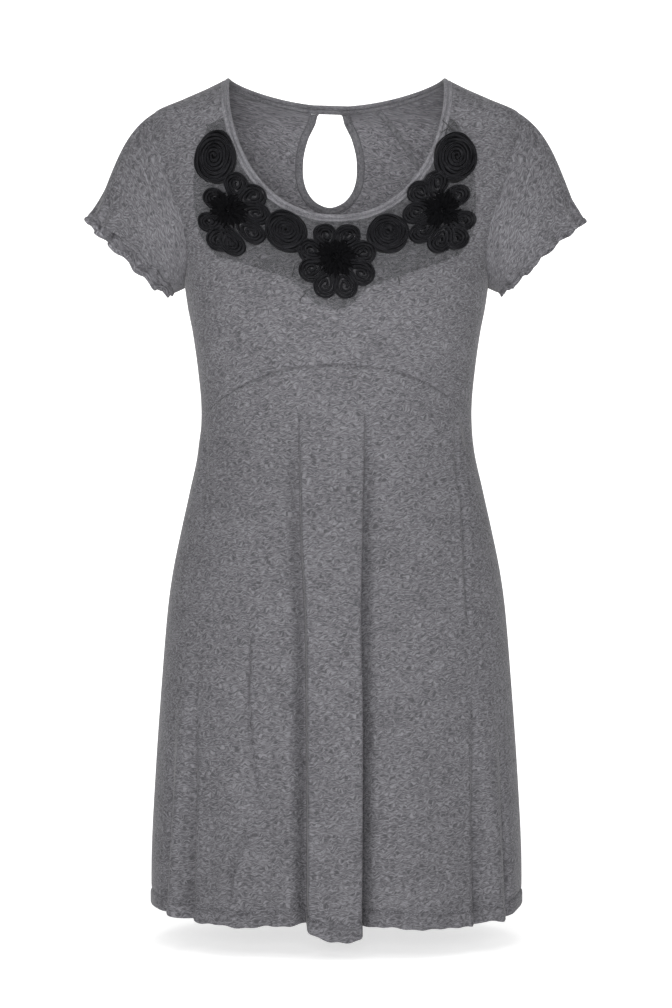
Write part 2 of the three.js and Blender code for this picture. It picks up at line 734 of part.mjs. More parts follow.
for (const { name, x, z, radius } of ROSETTES) {
  const profile = [
    { radius: radius / 2, height: 0 },
    { radius, height: 0 },
    { radius, height: ROSETTE_HEIGHT * 0.6 },
    { radius: radius * 0.7, height: ROSETTE_HEIGHT },
  ];
  place(name, cushion({ turn: turnOf(x, z), z }, 12, profile), blackRibbon);
}

// One petal: its outline at the foot and at the shoulder of its sides, and a crowned top.
function petal(station, direction) {
  const outline = [
    ...PETAL.map(({ out, half }) => ({ out, aside: -half })),
    ...PETAL.map(({ out, half }) => ({ out, aside: half })).reverse(),
  ];
  const spotOf = (out, aside, height) => {
    const across = out * Math.cos(direction) - aside * Math.sin(direction);
    const up = out * Math.sin(direction) + aside * Math.cos(direction);
    const spot = nearby(station, across, up);
    return bodyPoint(spot.turn, spot.z, TRIM_LIFT + height);
  };
  const ringAt = (height) => outline.map(({ out, aside }) => spotOf(out, aside, height));
  const middle = (PETAL[0].out + PETAL.at(-1).out) / 2;
  const rings = [ringAt(0), ringAt(PETAL_HEIGHT * 0.65)];
  return stack(rings, spotOf(middle, 0, 0), spotOf(middle, 0, PETAL_HEIGHT));
}

for (const { name, x, z, turn } of FLOWERS) {
  const station = { turn: turnOf(x, z), z };
  for (let index = 0; index < PETALS; index += 1) {
    const direction = turn + (2 * Math.PI * index) / PETALS;
    place(`${name}_petal_${index + 1}`, petal(station, direction), blackRibbon);
  }
  const profile = [
    { radius: CENTRE.radius, height: 0 },
    { radius: CENTRE.radius, height: CENTRE.height * 0.5 },
    { radius: CENTRE.radius * 0.6, height: CENTRE.height },
  ];
  place(`${name}_centre`, cushion(station, 10, profile), blackThread);
}

export default dress;
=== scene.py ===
"""Visual model of a short-sleeved, empire-line jersey dress, hollow and filled out as when worn.

The dress's surfaces are worked out in millimetres and written to meshes in metres.
+Z is up, the front faces -Y, and the origin lies midway between the high points of the shoulders.
A place on the body is a station: a turn about Z from the centre front towards +X, and a level z.
"""

import logging
import math
from collections.abc import Callable
from dataclasses import dataclass, field
from enum import Enum
from functools import cached_property

import bpy
import numpy as np
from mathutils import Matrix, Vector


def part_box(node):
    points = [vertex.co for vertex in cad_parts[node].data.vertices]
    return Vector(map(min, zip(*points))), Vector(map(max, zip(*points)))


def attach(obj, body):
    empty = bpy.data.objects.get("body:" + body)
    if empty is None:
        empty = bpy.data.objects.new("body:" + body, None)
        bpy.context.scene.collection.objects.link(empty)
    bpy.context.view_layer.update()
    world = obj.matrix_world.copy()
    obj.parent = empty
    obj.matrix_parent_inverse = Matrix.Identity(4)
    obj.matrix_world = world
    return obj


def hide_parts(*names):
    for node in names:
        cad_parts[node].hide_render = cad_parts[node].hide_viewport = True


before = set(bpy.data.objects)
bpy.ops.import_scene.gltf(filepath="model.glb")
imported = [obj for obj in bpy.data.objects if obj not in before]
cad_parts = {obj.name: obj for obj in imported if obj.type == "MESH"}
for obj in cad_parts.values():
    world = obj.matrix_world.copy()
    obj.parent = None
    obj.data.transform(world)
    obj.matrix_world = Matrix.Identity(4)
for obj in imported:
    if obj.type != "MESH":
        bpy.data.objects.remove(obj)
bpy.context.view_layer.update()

LOG = logging.getLogger("dress")
MM = 0.001
SIDE = math.pi / 2  # turn of the side of the body
GOLDEN_TURN = math.pi * (3 - math.sqrt(5))  # from one strip of a tuft to the next
JERSEY = 1.2  # thickness of the cloth
HEM_FOLD = 14.5  # depth of the hem's turn-up
LOWEST = -870.0  # level of the hem's lowest point
RIBBON_SIDES = 12  # points round a ribbon's outline
BINDING_STEP = 1.3  # cloth between two points of a binding's outline
CLOTH_MAP = "Cloth"
Array = np.ndarray
Colour = tuple[float, float, float]
Surface = Callable[[Array, Array], Array]


# ---- Numbers along tables and lines ----


def smoothstep(value: Array) -> Array:
    """Rise smoothly from 0 to 1 while the value goes from 0 to 1."""
    t = np.clip(value, 0.0, 1.0)
    return t * t * (3.0 - 2.0 * t)


def lerp(low: Array, high: Array, t: Array) -> Array:
    """Mix two values."""
    return low + (high - low) * t


def unit(vectors: Array) -> Array:
    """Scale each vector to length 1."""
    return vectors / np.maximum(np.linalg.norm(vectors, axis=-1, keepdims=True), 1e-12)


def curve(key: Array, value: Array, place: Array) -> Array:
    """Value at a place on a smooth curve through all the values of a key."""
    slope = np.gradient(value) / np.gradient(key)
    row = np.clip(np.searchsorted(key, place, side="right") - 1, 0, len(key) - 2)
    span = key[row + 1] - key[row]
    t = np.clip((place - key[row]) / span, 0.0, 1.0)
    rise = value[row + 1] - value[row]
    bend = (slope[row] * span - rise) * (1 - t) - (slope[row + 1] * span - rise) * t
    return value[row] + rise * t + bend * t * (1 - t)


def distances(path: Array, closed: bool = False) -> Array:
    """Length along a path at each of its points, and back at the first where it closes."""
    if closed:
        path = np.r_[path, path[:1]]
    return np.r_[0, np.cumsum(np.linalg.norm(np.diff(path, axis=0), axis=1))]


class Table:
    """Columns of numbers over a key, read along smooth curves."""

    def __init__(self, names: str, rows: list[tuple[float, ...]]) -> None:
        """Sort the rows by their first number, which is the key.

        Args:
            names: names of the columns after the key.
            rows: the table's rows.
        """
        data = np.array(sorted(rows), float)
        self.key = data[:, 0]
        self.columns = {name: data[:, i + 1] for i, name in enumerate(names.split())}

    def smooth(self, name: str, place: Array) -> Array:
        """Value of a column on a smooth curve through all the rows."""
        return curve(self.key, self.columns[name], place)


def spline(points: list[tuple[float, ...]], places: Array) -> Array:
    """Points on a smooth curve through a list of points, by the place in the list."""
    data = np.array(points, float)
    key = np.arange(len(data), dtype=float)
    return np.stack([curve(key, column, places) for column in data.T], -1)


def evenly(points: list[tuple[float, ...]], count: int) -> Array:
    """Points at equal steps of length along a smooth curve through a list of points."""
    fine = spline(points, np.linspace(0, len(points) - 1, 24 * len(points)))
    along = distances(fine)
    spots = np.linspace(0, along[-1], count)
    return np.stack([np.interp(spots, along, column) for column in fine.T], -1)


# ---- The form of the body ----


@dataclass(frozen=True)
class Body:
    """The smooth form that the dress hangs on, without its folds."""

    levels: Table = Table("half front back", [
        (8, 93.0, 38, 47), (0, 109.6, 46, 56), (-12, 133.5, 55, 69), (-24, 160.5, 64, 80),
        (-35, 185.6, 71, 88), (-45, 191, 76, 92), (-67, 195, 84, 98), (-100, 194, 94, 103),
        (-125, 188, 100, 105), (-162, 172, 109, 106), (-190, 160, 119, 105),
        (-216, 156, 126, 102), (-240, 152.4, 128, 99), (-260, 148.3, 124, 96),
        (-301, 142.5, 113, 90), (-342, 139, 105, 86), (-383, 141.6, 104, 91),
        (-424, 150.4, 109, 101), (-466, 159.7, 116, 112), (-507, 168, 123, 120),
        (-548, 173.6, 128, 126), (-630, 180.3, 134, 132), (-713, 186, 139, 137),
        (-795, 190, 143, 141), (-870, 190, 146, 143),
    ])
    power: float = 2.2
    seam: float = 0.15

    def oval(self, ratio: Array) -> Array:
        """Bend a sine or cosine towards the squarer oval of each level."""
        return np.sign(ratio) * np.abs(ratio) ** (2 / self.power)

    def bare(self, turn: Array, z: Array) -> Array:
        """Point of the smooth body at a station."""
        x = self.levels.smooth("half", z) * self.oval(np.sin(turn))
        fore, aft = self.levels.smooth("front", z), self.levels.smooth("back", z)
        depth = np.where(np.cos(turn) > 0, fore, aft)
        return np.stack([x, -depth * self.oval(np.cos(turn)), z + 0 * turn], -1)

    def turn_of(self, x: Array, z: Array, front: bool = True) -> Array:
        """Turn of the point with a given x at a level, on the front or on the back."""
        ratio = np.minimum(np.abs(x) / self.levels.smooth("half", z), 1.0)
        turn = np.arcsin(ratio ** (self.power / 2))
        return np.sign(x) * (turn if front else math.pi - turn)

    def seam_turn(self, front: bool, z: Array) -> Array:
        """Turn of the front or back panel's edge at the side seam."""
        depth = self.levels.smooth("front" if front else "back", z)
        away = np.arcsin((self.seam / depth) ** (self.power / 2))
        return SIDE - away if front else SIDE + away

    def shoulder_level(self, x: Array) -> Array:
        """Level at which the shoulder seam has a given x."""
        low, high = np.full(np.shape(x), -35.0), np.full(np.shape(x), 8.0)
        for _ in range(30):
            middle = (low + high) / 2
            inside = self.levels.smooth("half", middle) > x
            low, high = np.where(inside, middle, low), np.where(inside, high, middle)
        return low


# ---- Folds and creases ----


@dataclass(frozen=True)
class Fold:
    """A long soft ridge or trough that grows from its top down to the hem."""

    top_x: float
    top_z: float
    hem_x: float
    width: float
    height: float

    def at(self, x: Array, z: Array) -> Array:
        """Height of the fold at places on the body."""
        down = np.clip((self.top_z - z) / (self.top_z - LOWEST), 0, 1)
        off = (x - lerp(self.top_x, self.hem_x, down)) / self.width
        return self.height * smoothstep(down) * np.exp(-off * off)


@dataclass(frozen=True)
class Crease:
    """A short crease along a line of x and z: a trough with a softer ridge to one side of it."""

    line: tuple[tuple[float, float], ...]
    width: float
    depth: float
    ridge: float = 0.0
    fade: float = 0.25

    def at(self, x: Array, z: Array) -> Array:
        """Height of the crease at places on the body.

        Args:
            x: distance of each place from the middle.
            z: its level.

        Returns:
            Heights, below 0 in the trough.
        """
        line = evenly(list(self.line), 3 * len(self.line) + 4)
        best = np.full(np.shape(x), 1e9)
        signed, share = np.zeros(np.shape(x)), np.zeros(np.shape(x))
        for index, (start, end) in enumerate(zip(line[:-1], line[1:])):
            step = end - start
            length = float(np.hypot(*step))
            across, up = x - start[0], z - start[1]
            t = np.clip((across * step[0] + up * step[1]) / length**2, 0, 1)
            gap = np.hypot(across - t * step[0], up - t * step[1])
            near = gap < best
            side = np.sign(across * step[1] - up * step[0])
            signed = np.where(near, gap * side, signed)
            share = np.where(near, (index + t) / (len(line) - 1), share)
            best = np.minimum(best, gap)
        ends = smoothstep(share / self.fade) * smoothstep((1 - share) / self.fade)
        trough = -self.depth * np.exp(-((best / self.width) ** 2))
        beside = (signed - 2.2 * self.width) / (1.6 * self.width)
        return ends * (trough + self.ridge * np.exp(-beside * beside))


@dataclass(frozen=True)
class PleatEdge:
    """How the box pleat's panel steps down to the cloth beside it."""

    start: float
    run: float
    sink: float
    reach: float
    overhang: float


@dataclass(frozen=True)
class Pleat:
    """The box pleat in the middle of the front skirt."""

    edges: Table = Table("left right", [
        (-301, -37, 28), (-466, -34, 24.5), (-549, -29.5, 22.5), (-651, -28, 24),
        (-870, -27, 22.5),
    ])
    top: float = -345.0
    rise: float = 5.0
    left: PleatEdge = PleatEdge(-2.0, 6.0, 17.0, 9.0, 1.0)
    right: PleatEdge = PleatEdge(-0.6, 2.8, 19.0, 8.5, 2.4)

    def grown(self, z: Array) -> Array:
        """How far the pleat has opened at a level, from 0 to 1."""
        return np.clip((self.top - z) / (self.top - LOWEST), 0, 1) ** 0.42

    def outside(self, x: Array, z: Array) -> tuple[Array, Array]:
        """Distance beyond the left edge and beyond the right edge."""
        return self.edges.smooth("left", z) - x, x - self.edges.smooth("right", z)

    def at(self, x: Array, z: Array) -> Array:
        """Height of the pleat over the body."""
        sides = []
        for out, edge in zip(self.outside(x, z), (self.left, self.right)):
            fall = smoothstep((out - edge.start) / edge.run)
            past = np.maximum(out - edge.start - edge.run, 0) / edge.reach
            sides.append(self.rise * (1 - fall) - edge.sink * fall * np.exp(-past * past))
        return self.grown(z) * np.minimum(*sides)

    def slide(self, x: Array, z: Array) -> Array:
        """How far the folded edges of the panel lean out over the valleys, along x."""
        left, right = self.outside(x, z)
        lean_left = self.left.overhang * np.exp(-(((left + 1) / 3.5) ** 2))
        lean_right = self.right.overhang * np.exp(-(((right + 0.5) / 2.6) ** 2))
        return self.grown(z) * (lean_right - lean_left)


@dataclass
class Dress:
    """The dress's outer surface: the body with its pleat, folds and creases."""

    body: Body = field(default_factory=Body)
    pleat: Pleat = field(default_factory=Pleat)
    front_folds: tuple[Fold, ...] = (
        Fold(-150, -540, -161, 7, 11), Fold(-139, -560, -149.5, 4.2, -13),
        Fold(-160, -600, -173, 4.5, -8),
        Fold(-92, -540, -108, 18, 5), Fold(-60, -520, -72, 14, -5),
        Fold(60, -470, 88, 26, 6), Fold(136, -580, 143, 4.4, -14), Fold(150, -560, 160, 9, 8),
        Fold(162, -600, 174, 4.2, -9),
    )
    back_folds: tuple[Fold, ...] = (
        Fold(-110, -480, -138, 16, 12), Fold(-82, -500, -98, 12, -10),
        Fold(-38, -400, -52, 21, 10), Fold(4, -440, 2, 14, -9), Fold(48, -380, 60, 20, 12),
        Fold(84, -500, 104, 13, -11), Fold(112, -520, 144, 14, 10),
    )
    front_creases: tuple[Crease, ...] = (
        Crease(((-86, -545), (-87.5, -632), (-84, -676), (-76, -730), (-66, -772)), 1.8, 4.4, -1.8),
        Crease(((-77, -738), (-92, -775), (-103, -803), (-107, -850)), 3.0, 5.2, 2.4),
        Crease(((119.6, -346), (122, -407), (127, -439), (129, -494), (132, -566)), 2.2, 3.2, 1.7,
               0.12),
        Crease(((124, -346), (131, -362), (134, -384)), 4, 2.6, 1.2),
        Crease(((-136, -352), (-133, -400), (-141, -452)), 3, 1.6, 0.8),
        Crease(((17.5, -775), (18, -820), (17.5, -872)), 1.1, 0.9, 0.3, 0.15),
        Crease(((-60, -350), (-44, -392), (-38, -440)), 5, 0.8, 0.4),
        Crease(((52, -345), (40, -385), (31, -430)), 4, 0.9, 0.4),
    )

    def height(self, turn: Array, z: Array) -> Array:
        """Height of folds, pleat and creases over the body. Folds die away at the sides."""
        bare = self.body.bare(turn, z)
        x, front = bare[..., 0], np.cos(turn) > 0
        fore = sum(fold.at(x, z) for fold in self.front_folds) + self.pleat.at(x, z)
        aft = sum(fold.at(x, z) for fold in self.back_folds)
        fading = 1 - np.abs(np.sin(turn)) ** 16
        return np.where(front, fore, aft) * fading

    def smooth_point(self, turn: Array, z: Array) -> Array:
        """Point of the dress without its finest creases."""
        normal = self.normal(self.body.bare, turn, z)
        return self.body.bare(turn, z) + normal * self.height(turn, z)[..., None]

    def point(self, turn: Array, z: Array, lift: float | Array = 0.0) -> Array:
        """Point of the dress at a station, lifted off it along the normal."""
        spot = self.smooth_point(turn, z)
        if np.any(lift):
            spot = spot + self.normal(self.smooth_point, turn, z) * np.asarray(lift)[..., None]
        return spot

    def normal(self, surface: Surface, turn: Array, z: Array) -> Array:
        """Outward normal of a surface that is given by stations.

        Args:
            surface: function from turns and levels to points.
            turn: turns of the places.
            z: levels of the places.

        Returns:
            Unit vectors.
        """
        across = surface(turn + 0.006, z) - surface(turn - 0.006, z)
        up = surface(turn, z + 0.8) - surface(turn, z - 0.8)
        return unit(np.cross(across, up))

    def detailed(self, turn: Array, z: Array) -> tuple[Array, Array]:
        """Points with the finest creases, and the normals there without them."""
        spot, normal = self.smooth_point(turn, z), self.normal(self.smooth_point, turn, z)
        x, front = self.body.bare(turn, z)[..., 0], np.cos(turn) > 0
        fine = sum(crease.at(x, z) for crease in self.front_creases)
        spot = spot + normal * np.where(front, fine, 0.0)[..., None]
        spot[..., 0] += np.where(front, self.pleat.slide(x, z), 0.0)
        return spot, normal

    @cached_property
    def girths(self) -> tuple[Array, Array, Array]:
        """Distance round each level from the centre front, over a net of levels and turns."""
        levels, turns = np.linspace(-880, 8, 120), np.linspace(0, math.pi, 361)
        z, turn = np.meshgrid(levels, turns, indexing="ij")
        steps = np.linalg.norm(np.diff(self.body.bare(turn, z), axis=1), axis=-1)
        return levels, turns, np.c_[np.zeros(len(levels)), np.cumsum(steps, axis=1)]

    def cloth(self, turn: Array, z: Array) -> Array:
        """Place in the cloth: distance round the body and distance down it."""
        levels, turns, around = self.girths
        row = np.clip((z - levels[0]) / (levels[1] - levels[0]), 0, len(levels) - 1.001)
        column = np.clip(np.abs(turn) / (turns[1] - turns[0]), 0, len(turns) - 1.001)
        i, j = row.astype(int), column.astype(int)
        s, t = row - i, column - j
        low = lerp(around[i, j], around[i, j + 1], t)
        high = lerp(around[i + 1, j], around[i + 1, j + 1], t)
        return np.stack([np.sign(turn) * lerp(low, high, s), -z + 0 * turn], -1)


# ---- Meshes ----


@dataclass
class Sheet:
    """A sheet of quads with a normal and a place in the cloth at each corner."""

    points: Array
    normals: Array
    quads: Array
    cloth: Array

    @staticmethod
    def grid(points: Array, normals: Array, cloth: Array, flip: bool = False,
             closed: bool = False) -> "Sheet":
        """A sheet over a grid of points whose rows run down and whose columns run across.

        Args:
            points: rows by columns by three.
            normals: the same shape as the points.
            cloth: place in the cloth at each point, with one column more on a closed grid.
            flip: turn the faces round.
            closed: join the last column to the first.

        Returns:
            The sheet.
        """
        rows, wide = points.shape[:2]
        steps = wide if closed else wide - 1
        row, column = np.meshgrid(np.arange(rows - 1), np.arange(steps), indexing="ij")
        after = (column + 1) % wide
        corners = [(row, column), (row + 1, column), (row + 1, after), (row, after)]
        places = [(row, column), (row + 1, column), (row + 1, column + 1), (row, column + 1)]
        quads = np.stack([(r * wide + c).ravel() for r, c in corners], -1)
        wraps = np.stack([cloth[r, c].reshape(-1, 2) for r, c in places], 1)
        if flip:
            quads, wraps = quads[:, ::-1], wraps[:, ::-1]
        return Sheet(points.reshape(-1, 3), normals.reshape(-1, 3), quads, wraps)

    def joined(self, other: "Sheet") -> "Sheet":
        """The two sheets as one, welded where their points agree."""
        points = np.r_[self.points, other.points]
        _, first, name = np.unique(np.round(points, 3), axis=0, return_index=True,
                                   return_inverse=True)
        name = name.ravel()
        quads = name[np.r_[self.quads, other.quads + len(self.points)]]
        normals = np.r_[self.normals, other.normals][first]
        return Sheet(points[first], normals, quads, np.r_[self.cloth, other.cloth])

    def panel(self, node: str, finishes: "Finishes") -> bpy.types.Object:
        """A panel of the jersey, which stands for a CAD node."""
        return self.walled(JERSEY).piece(node + "_cloth", finishes.jersey, "jersey", (node,),
                                         finishes.reverse)

    def walled(self, thickness: float) -> "Solid":
        """A closed wall of cloth under the sheet, with a rounded rim along each free edge.

        Args:
            thickness: how far the wall's inner side lies under the sheet.

        Returns:
            The wall, which knows which of its quads are the inner side.
        """
        count = len(self.points)
        edges = np.concatenate([self.quads[:, [i, (i + 1) % 4]] for i in range(4)])
        wraps = np.concatenate([self.cloth[:, [i, (i + 1) % 4]] for i in range(4)])
        keys = edges[:, 0] * count + edges[:, 1]
        free = ~np.isin(keys, edges[:, 1] * count + edges[:, 0])
        rim, rim_cloth = edges[free], wraps[free]
        along = unit(self.points[rim[:, 1]] - self.points[rim[:, 0]])
        out = np.zeros_like(self.points)
        for end in (0, 1):
            np.add.at(out, rim[:, end], np.cross(along, self.normals[rim[:, end]]))
        outer, inner = self.points, self.points - self.normals * thickness
        names = np.unique(rim)
        middle = (outer + inner)[names] / 2 + unit(out[names]) * thickness * 0.5
        place = np.zeros(count, int)
        place[names] = 2 * count + np.arange(len(names))
        a, b = rim[:, 0], rim[:, 1]
        quads = np.concatenate([
            self.quads, self.quads[:, ::-1] + count,
            np.stack([b, a, place[a], place[b]], -1),
            np.stack([place[b], place[a], a + count, b + count], -1),
        ])
        edge = rim_cloth[:, [1, 0, 0, 1]]
        cloth = np.concatenate([self.cloth, self.cloth[:, ::-1], edge, edge])
        span = (len(self.quads), 2 * len(self.quads))
        return Solid(np.concatenate([outer, inner, middle]), quads, cloth, span)


@dataclass
class Solid:
    """A finished mesh: points in millimetres, quads and a place in the cloth at each corner."""

    points: Array
    quads: Array
    cloth: Array
    # Span of the inner-side quads, which take the jersey painted lighter as painted light.
    reverse: tuple[int, int] = (0, 0)

    @staticmethod
    def several(parts: list["Solid"]) -> "Solid":
        """Several meshes as one."""
        starts = np.cumsum([0] + [len(part.points) for part in parts[:-1]])
        return Solid(
            np.concatenate([part.points for part in parts]),
            np.concatenate([part.quads + start for part, start in zip(parts, starts)]),
            np.concatenate([part.cloth for part in parts]),
        )

    def piece(self, name: str, material: bpy.types.Material, slot: str,
              stands_for: tuple[str, ...],
              reverse: bpy.types.Material | None = None) -> bpy.types.Object:
        """Make the Blender object and tie it to the part's frame.

        Args:
            name: name of the object.
            material: its finish.
            slot: not used.
            stands_for: CAD nodes that it replaces.
            reverse: finish of the cloth's inner side, the same jersey painted lighter as painted
                light.

        Returns:
            The object.
        """
        mesh = bpy.data.meshes.new(name)
        mesh.vertices.add(len(self.points))
        mesh.vertices.foreach_set("co", (self.points * MM).astype(np.float32).ravel())
        mesh.loops.add(self.quads.size)
        mesh.loops.foreach_set("vertex_index", self.quads.astype(np.int32).ravel())
        mesh.polygons.add(len(self.quads))
        mesh.polygons.foreach_set("loop_start", np.arange(len(self.quads), dtype=np.int32) * 4)
        mesh.update(calc_edges=True)
        layer = mesh.uv_layers.new(name=CLOTH_MAP)
        layer.uv.foreach_set("vector", (self.cloth * MM).astype(np.float32).ravel())
        mesh.polygons.foreach_set("use_smooth", np.ones(len(self.quads), bool))
        mesh.validate()
        mesh.set_sharp_from_angle(angle=math.radians(70))
        mesh.materials.append(material)
        # The inner side gets the jersey painted lighter: painted light.
        if reverse:
            mesh.materials.append(reverse)
            inside = np.zeros(len(self.quads), np.int32)
            inside[slice(*self.reverse)] = 1
            mesh.polygons.foreach_set("material_index", inside)
        made = bpy.data.objects.new(name, mesh)
        bpy.context.scene.collection.objects.link(made)
        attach(made, "root")
        if stands_for:
            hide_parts(*stands_for)
        LOG.info("%s: %d faces", name, len(self.quads))
        return made


def tube(rings: Array, length: Array, spacing: float, closed: bool = False) -> Solid:
    """A solid strip through rings of points.

    Args:
        rings: points round the strip, ring by ring.
        length: place of each ring along the cloth, and of the first again where it closes.
        spacing: step between the points of a ring round the cloth.
        closed: join the last ring to the first.

    Returns:
        The strip, with open ends shut by small fans of quads.
    """
    count, sides = rings.shape[:2]
    cloth = np.stack(np.meshgrid(length, np.arange(sides + 1) * spacing, indexing="ij"), -1)
    if closed:
        rings = np.concatenate([rings, rings[:1]])
    sheet = Sheet.grid(rings, rings, cloth, closed=True)
    if closed:
        return Solid(sheet.points[: count * sides], sheet.quads % (count * sides), sheet.cloth)
    step = np.arange(sides // 2 - 1)
    first = np.stack([step, step + 1, sides - 2 - step, sides - 1 - step], -1)
    caps = np.r_[first, first[:, ::-1] + (count - 1) * sides]
    blank = np.broadcast_to(sheet.cloth[:1, :1], (len(caps), 4, 2))
    return Solid(sheet.points, np.r_[sheet.quads, caps], np.r_[sheet.cloth, blank])


def swept(path: Array, up: Array, profile: Array, scale: Array | None = None) -> Solid:
    """A solid strip with a closed outline, carried along a path.

    Args:
        path: points of the path.
        up: direction that the outline's second number is measured in, at each point.
        profile: outline as distance aside and distance up, once or for each point.
        scale: share of the outline's size at each point.

    Returns:
        The strip.
    """
    ahead = np.roll(path, -1, 0) - np.roll(path, 1, 0)
    ahead[0], ahead[-1] = path[1] - path[0], path[-1] - path[-2]
    up = unit(up - unit(ahead) * np.sum(up * unit(ahead), -1, keepdims=True))
    aside = np.cross(unit(ahead), up)
    outline = np.broadcast_to(profile, (len(path), *np.shape(profile)[-2:]))
    if scale is not None:
        outline = outline * scale[:, None, None]
    rings = path[:, None] + aside[:, None] * outline[..., :1] + up[:, None] * outline[..., 1:]
    return tube(rings, distances(path), 1.0)


def circle(radius: float, flatness: float = 1.0, sides: int = 6) -> Array:
    """Outline of a thread, round or flattened."""
    ring = np.linspace(0, 2 * math.pi, sides, endpoint=False)
    return np.stack([np.cos(ring), flatness * np.sin(ring)], -1) * radius


# ---- Shader maths ----


class Value:
    """A node's output socket that can be used in sums."""

    def __init__(self, graph: "Graph", socket: bpy.types.NodeSocket) -> None:
        """Keep the graph that the socket belongs to."""
        self.graph, self.socket = graph, socket

    def __add__(self, other: "Value | float") -> "Value":
        """Sum."""
        return self.graph.math("ADD", self, other)

    def __sub__(self, other: "Value | float") -> "Value":
        """Difference."""
        return self.graph.math("SUBTRACT", self, other)

    def __rsub__(self, other: float) -> "Value":
        """Difference from a number."""
        return self.graph.math("SUBTRACT", other, self)

    def __mul__(self, other: "Value | float") -> "Value":
        """Product."""
        return self.graph.math("MULTIPLY", self, other)

    def __truediv__(self, other: "Value | float") -> "Value":
        """Quotient."""
        return self.graph.math("DIVIDE", self, other)

    __radd__ = __add__
    __rmul__ = __mul__

    def clamped(self) -> "Value":
        """The value kept between 0 and 1."""
        return self.graph.math("ADD", self, 0.0, clamp=True)


class Graph:
    """The nodes of one material, round a Principled shader."""

    def __init__(self, name: str, **settings: float | Colour) -> None:
        """Start a material.

        Args:
            name: the material's name.
            **settings: constant values of the shader's sockets, with _ for each space.
        """
        self.material = bpy.data.materials.new(name)
        self.material.use_nodes = True
        self.tree = self.material.node_tree
        self.tree.nodes.clear()
        self.shader = self.tree.nodes.new("ShaderNodeBsdfPrincipled")
        output = self.tree.nodes.new("ShaderNodeOutputMaterial")
        self.tree.links.new(self.shader.outputs[0], output.inputs["Surface"])
        for key, value in settings.items():
            socket = self.shader.inputs[key.replace("_", " ")]
            socket.default_value = (*value, 1.0) if isinstance(value, tuple) else value

    def node(self, kind: str, settings: dict | None = None, inputs: dict | None = None,
             output: int | str = 0) -> Value:
        """Add a node.

        Args:
            kind: the node's type.
            settings: its properties, with a ramp's colours under stops.
            inputs: the values or links of its sockets, by name or number.
            output: which output to give back.

        Returns:
            The output.
        """
        made = self.tree.nodes.new(kind)
        for key, value in (settings or {}).items():
            if key == "stops":
                ramp = made.color_ramp
                while len(ramp.elements) < len(value):
                    ramp.elements.new(1.0)
                for element, (place, colour) in zip(ramp.elements, value):
                    element.position, element.color = place, (*colour, 1.0)
            else:
                setattr(made, key, value)
        for key, value in (inputs or {}).items():
            if isinstance(value, Value):
                self.tree.links.new(value.socket, made.inputs[key])
            else:
                made.inputs[key].default_value = value
        return Value(self, made.outputs[output])

    def math(self, operation: str, first: Value | float, second: Value | float,
             clamp: bool = False) -> Value:
        """Combine two values."""
        settings = {"operation": operation, "use_clamp": clamp}
        return self.node("ShaderNodeMath", settings, {0: first, 1: second})

    def mix(self, share: Value, low: Colour, high: Colour) -> Value:
        """Mix two colours."""
        inputs = {0: share, 6: (*low, 1.0), 7: (*high, 1.0)}
        return self.node("ShaderNodeMix", {"data_type": "RGBA"}, inputs, 2)

    def wave(self, value: Value) -> Value:
        """Sine of a value."""
        return self.math("SINE", value, 0.0)

    def places(self) -> tuple[Value, Value]:
        """Distance across and down the cloth, in millimetres."""
        spot = self.node("ShaderNodeUVMap", {"uv_map": CLOTH_MAP})
        across = self.node("ShaderNodeSeparateXYZ", {}, {0: spot})
        down = Value(self, across.socket.node.outputs[1])
        return across / MM, down / MM

    def vector(self, x: Value | float, y: Value | float, z: Value | float = 0.0) -> Value:
        """A vector from three values."""
        return self.node("ShaderNodeCombineXYZ", {}, {0: x, 1: y, 2: z})

    def noise(self, spot: Value, detail: float = 2.0, roughness: float = 0.5,
              flat: bool = True) -> Value:
        """Cloudy noise from 0 to 1 with features of about one unit."""
        settings = {"noise_dimensions": "2D" if flat else "3D"}
        inputs = {"Vector": spot, "Scale": 1.0, "Detail": detail, "Roughness": roughness}
        return self.node("ShaderNodeTexNoise", settings, inputs)

    def bump(self, height: Value, distance: float, strength: float = 1.0) -> None:
        """Feed the shader's normal from a height, with its depth in metres."""
        inputs = {"Height": height, "Distance": distance, "Strength": strength}
        self.feed("Normal", self.node("ShaderNodeBump", {}, inputs))

    def feed(self, socket: str, value: Value) -> None:
        """Link a value to the shader."""
        self.tree.links.new(value.socket, self.shader.inputs[socket])


# ---- Finishes ----


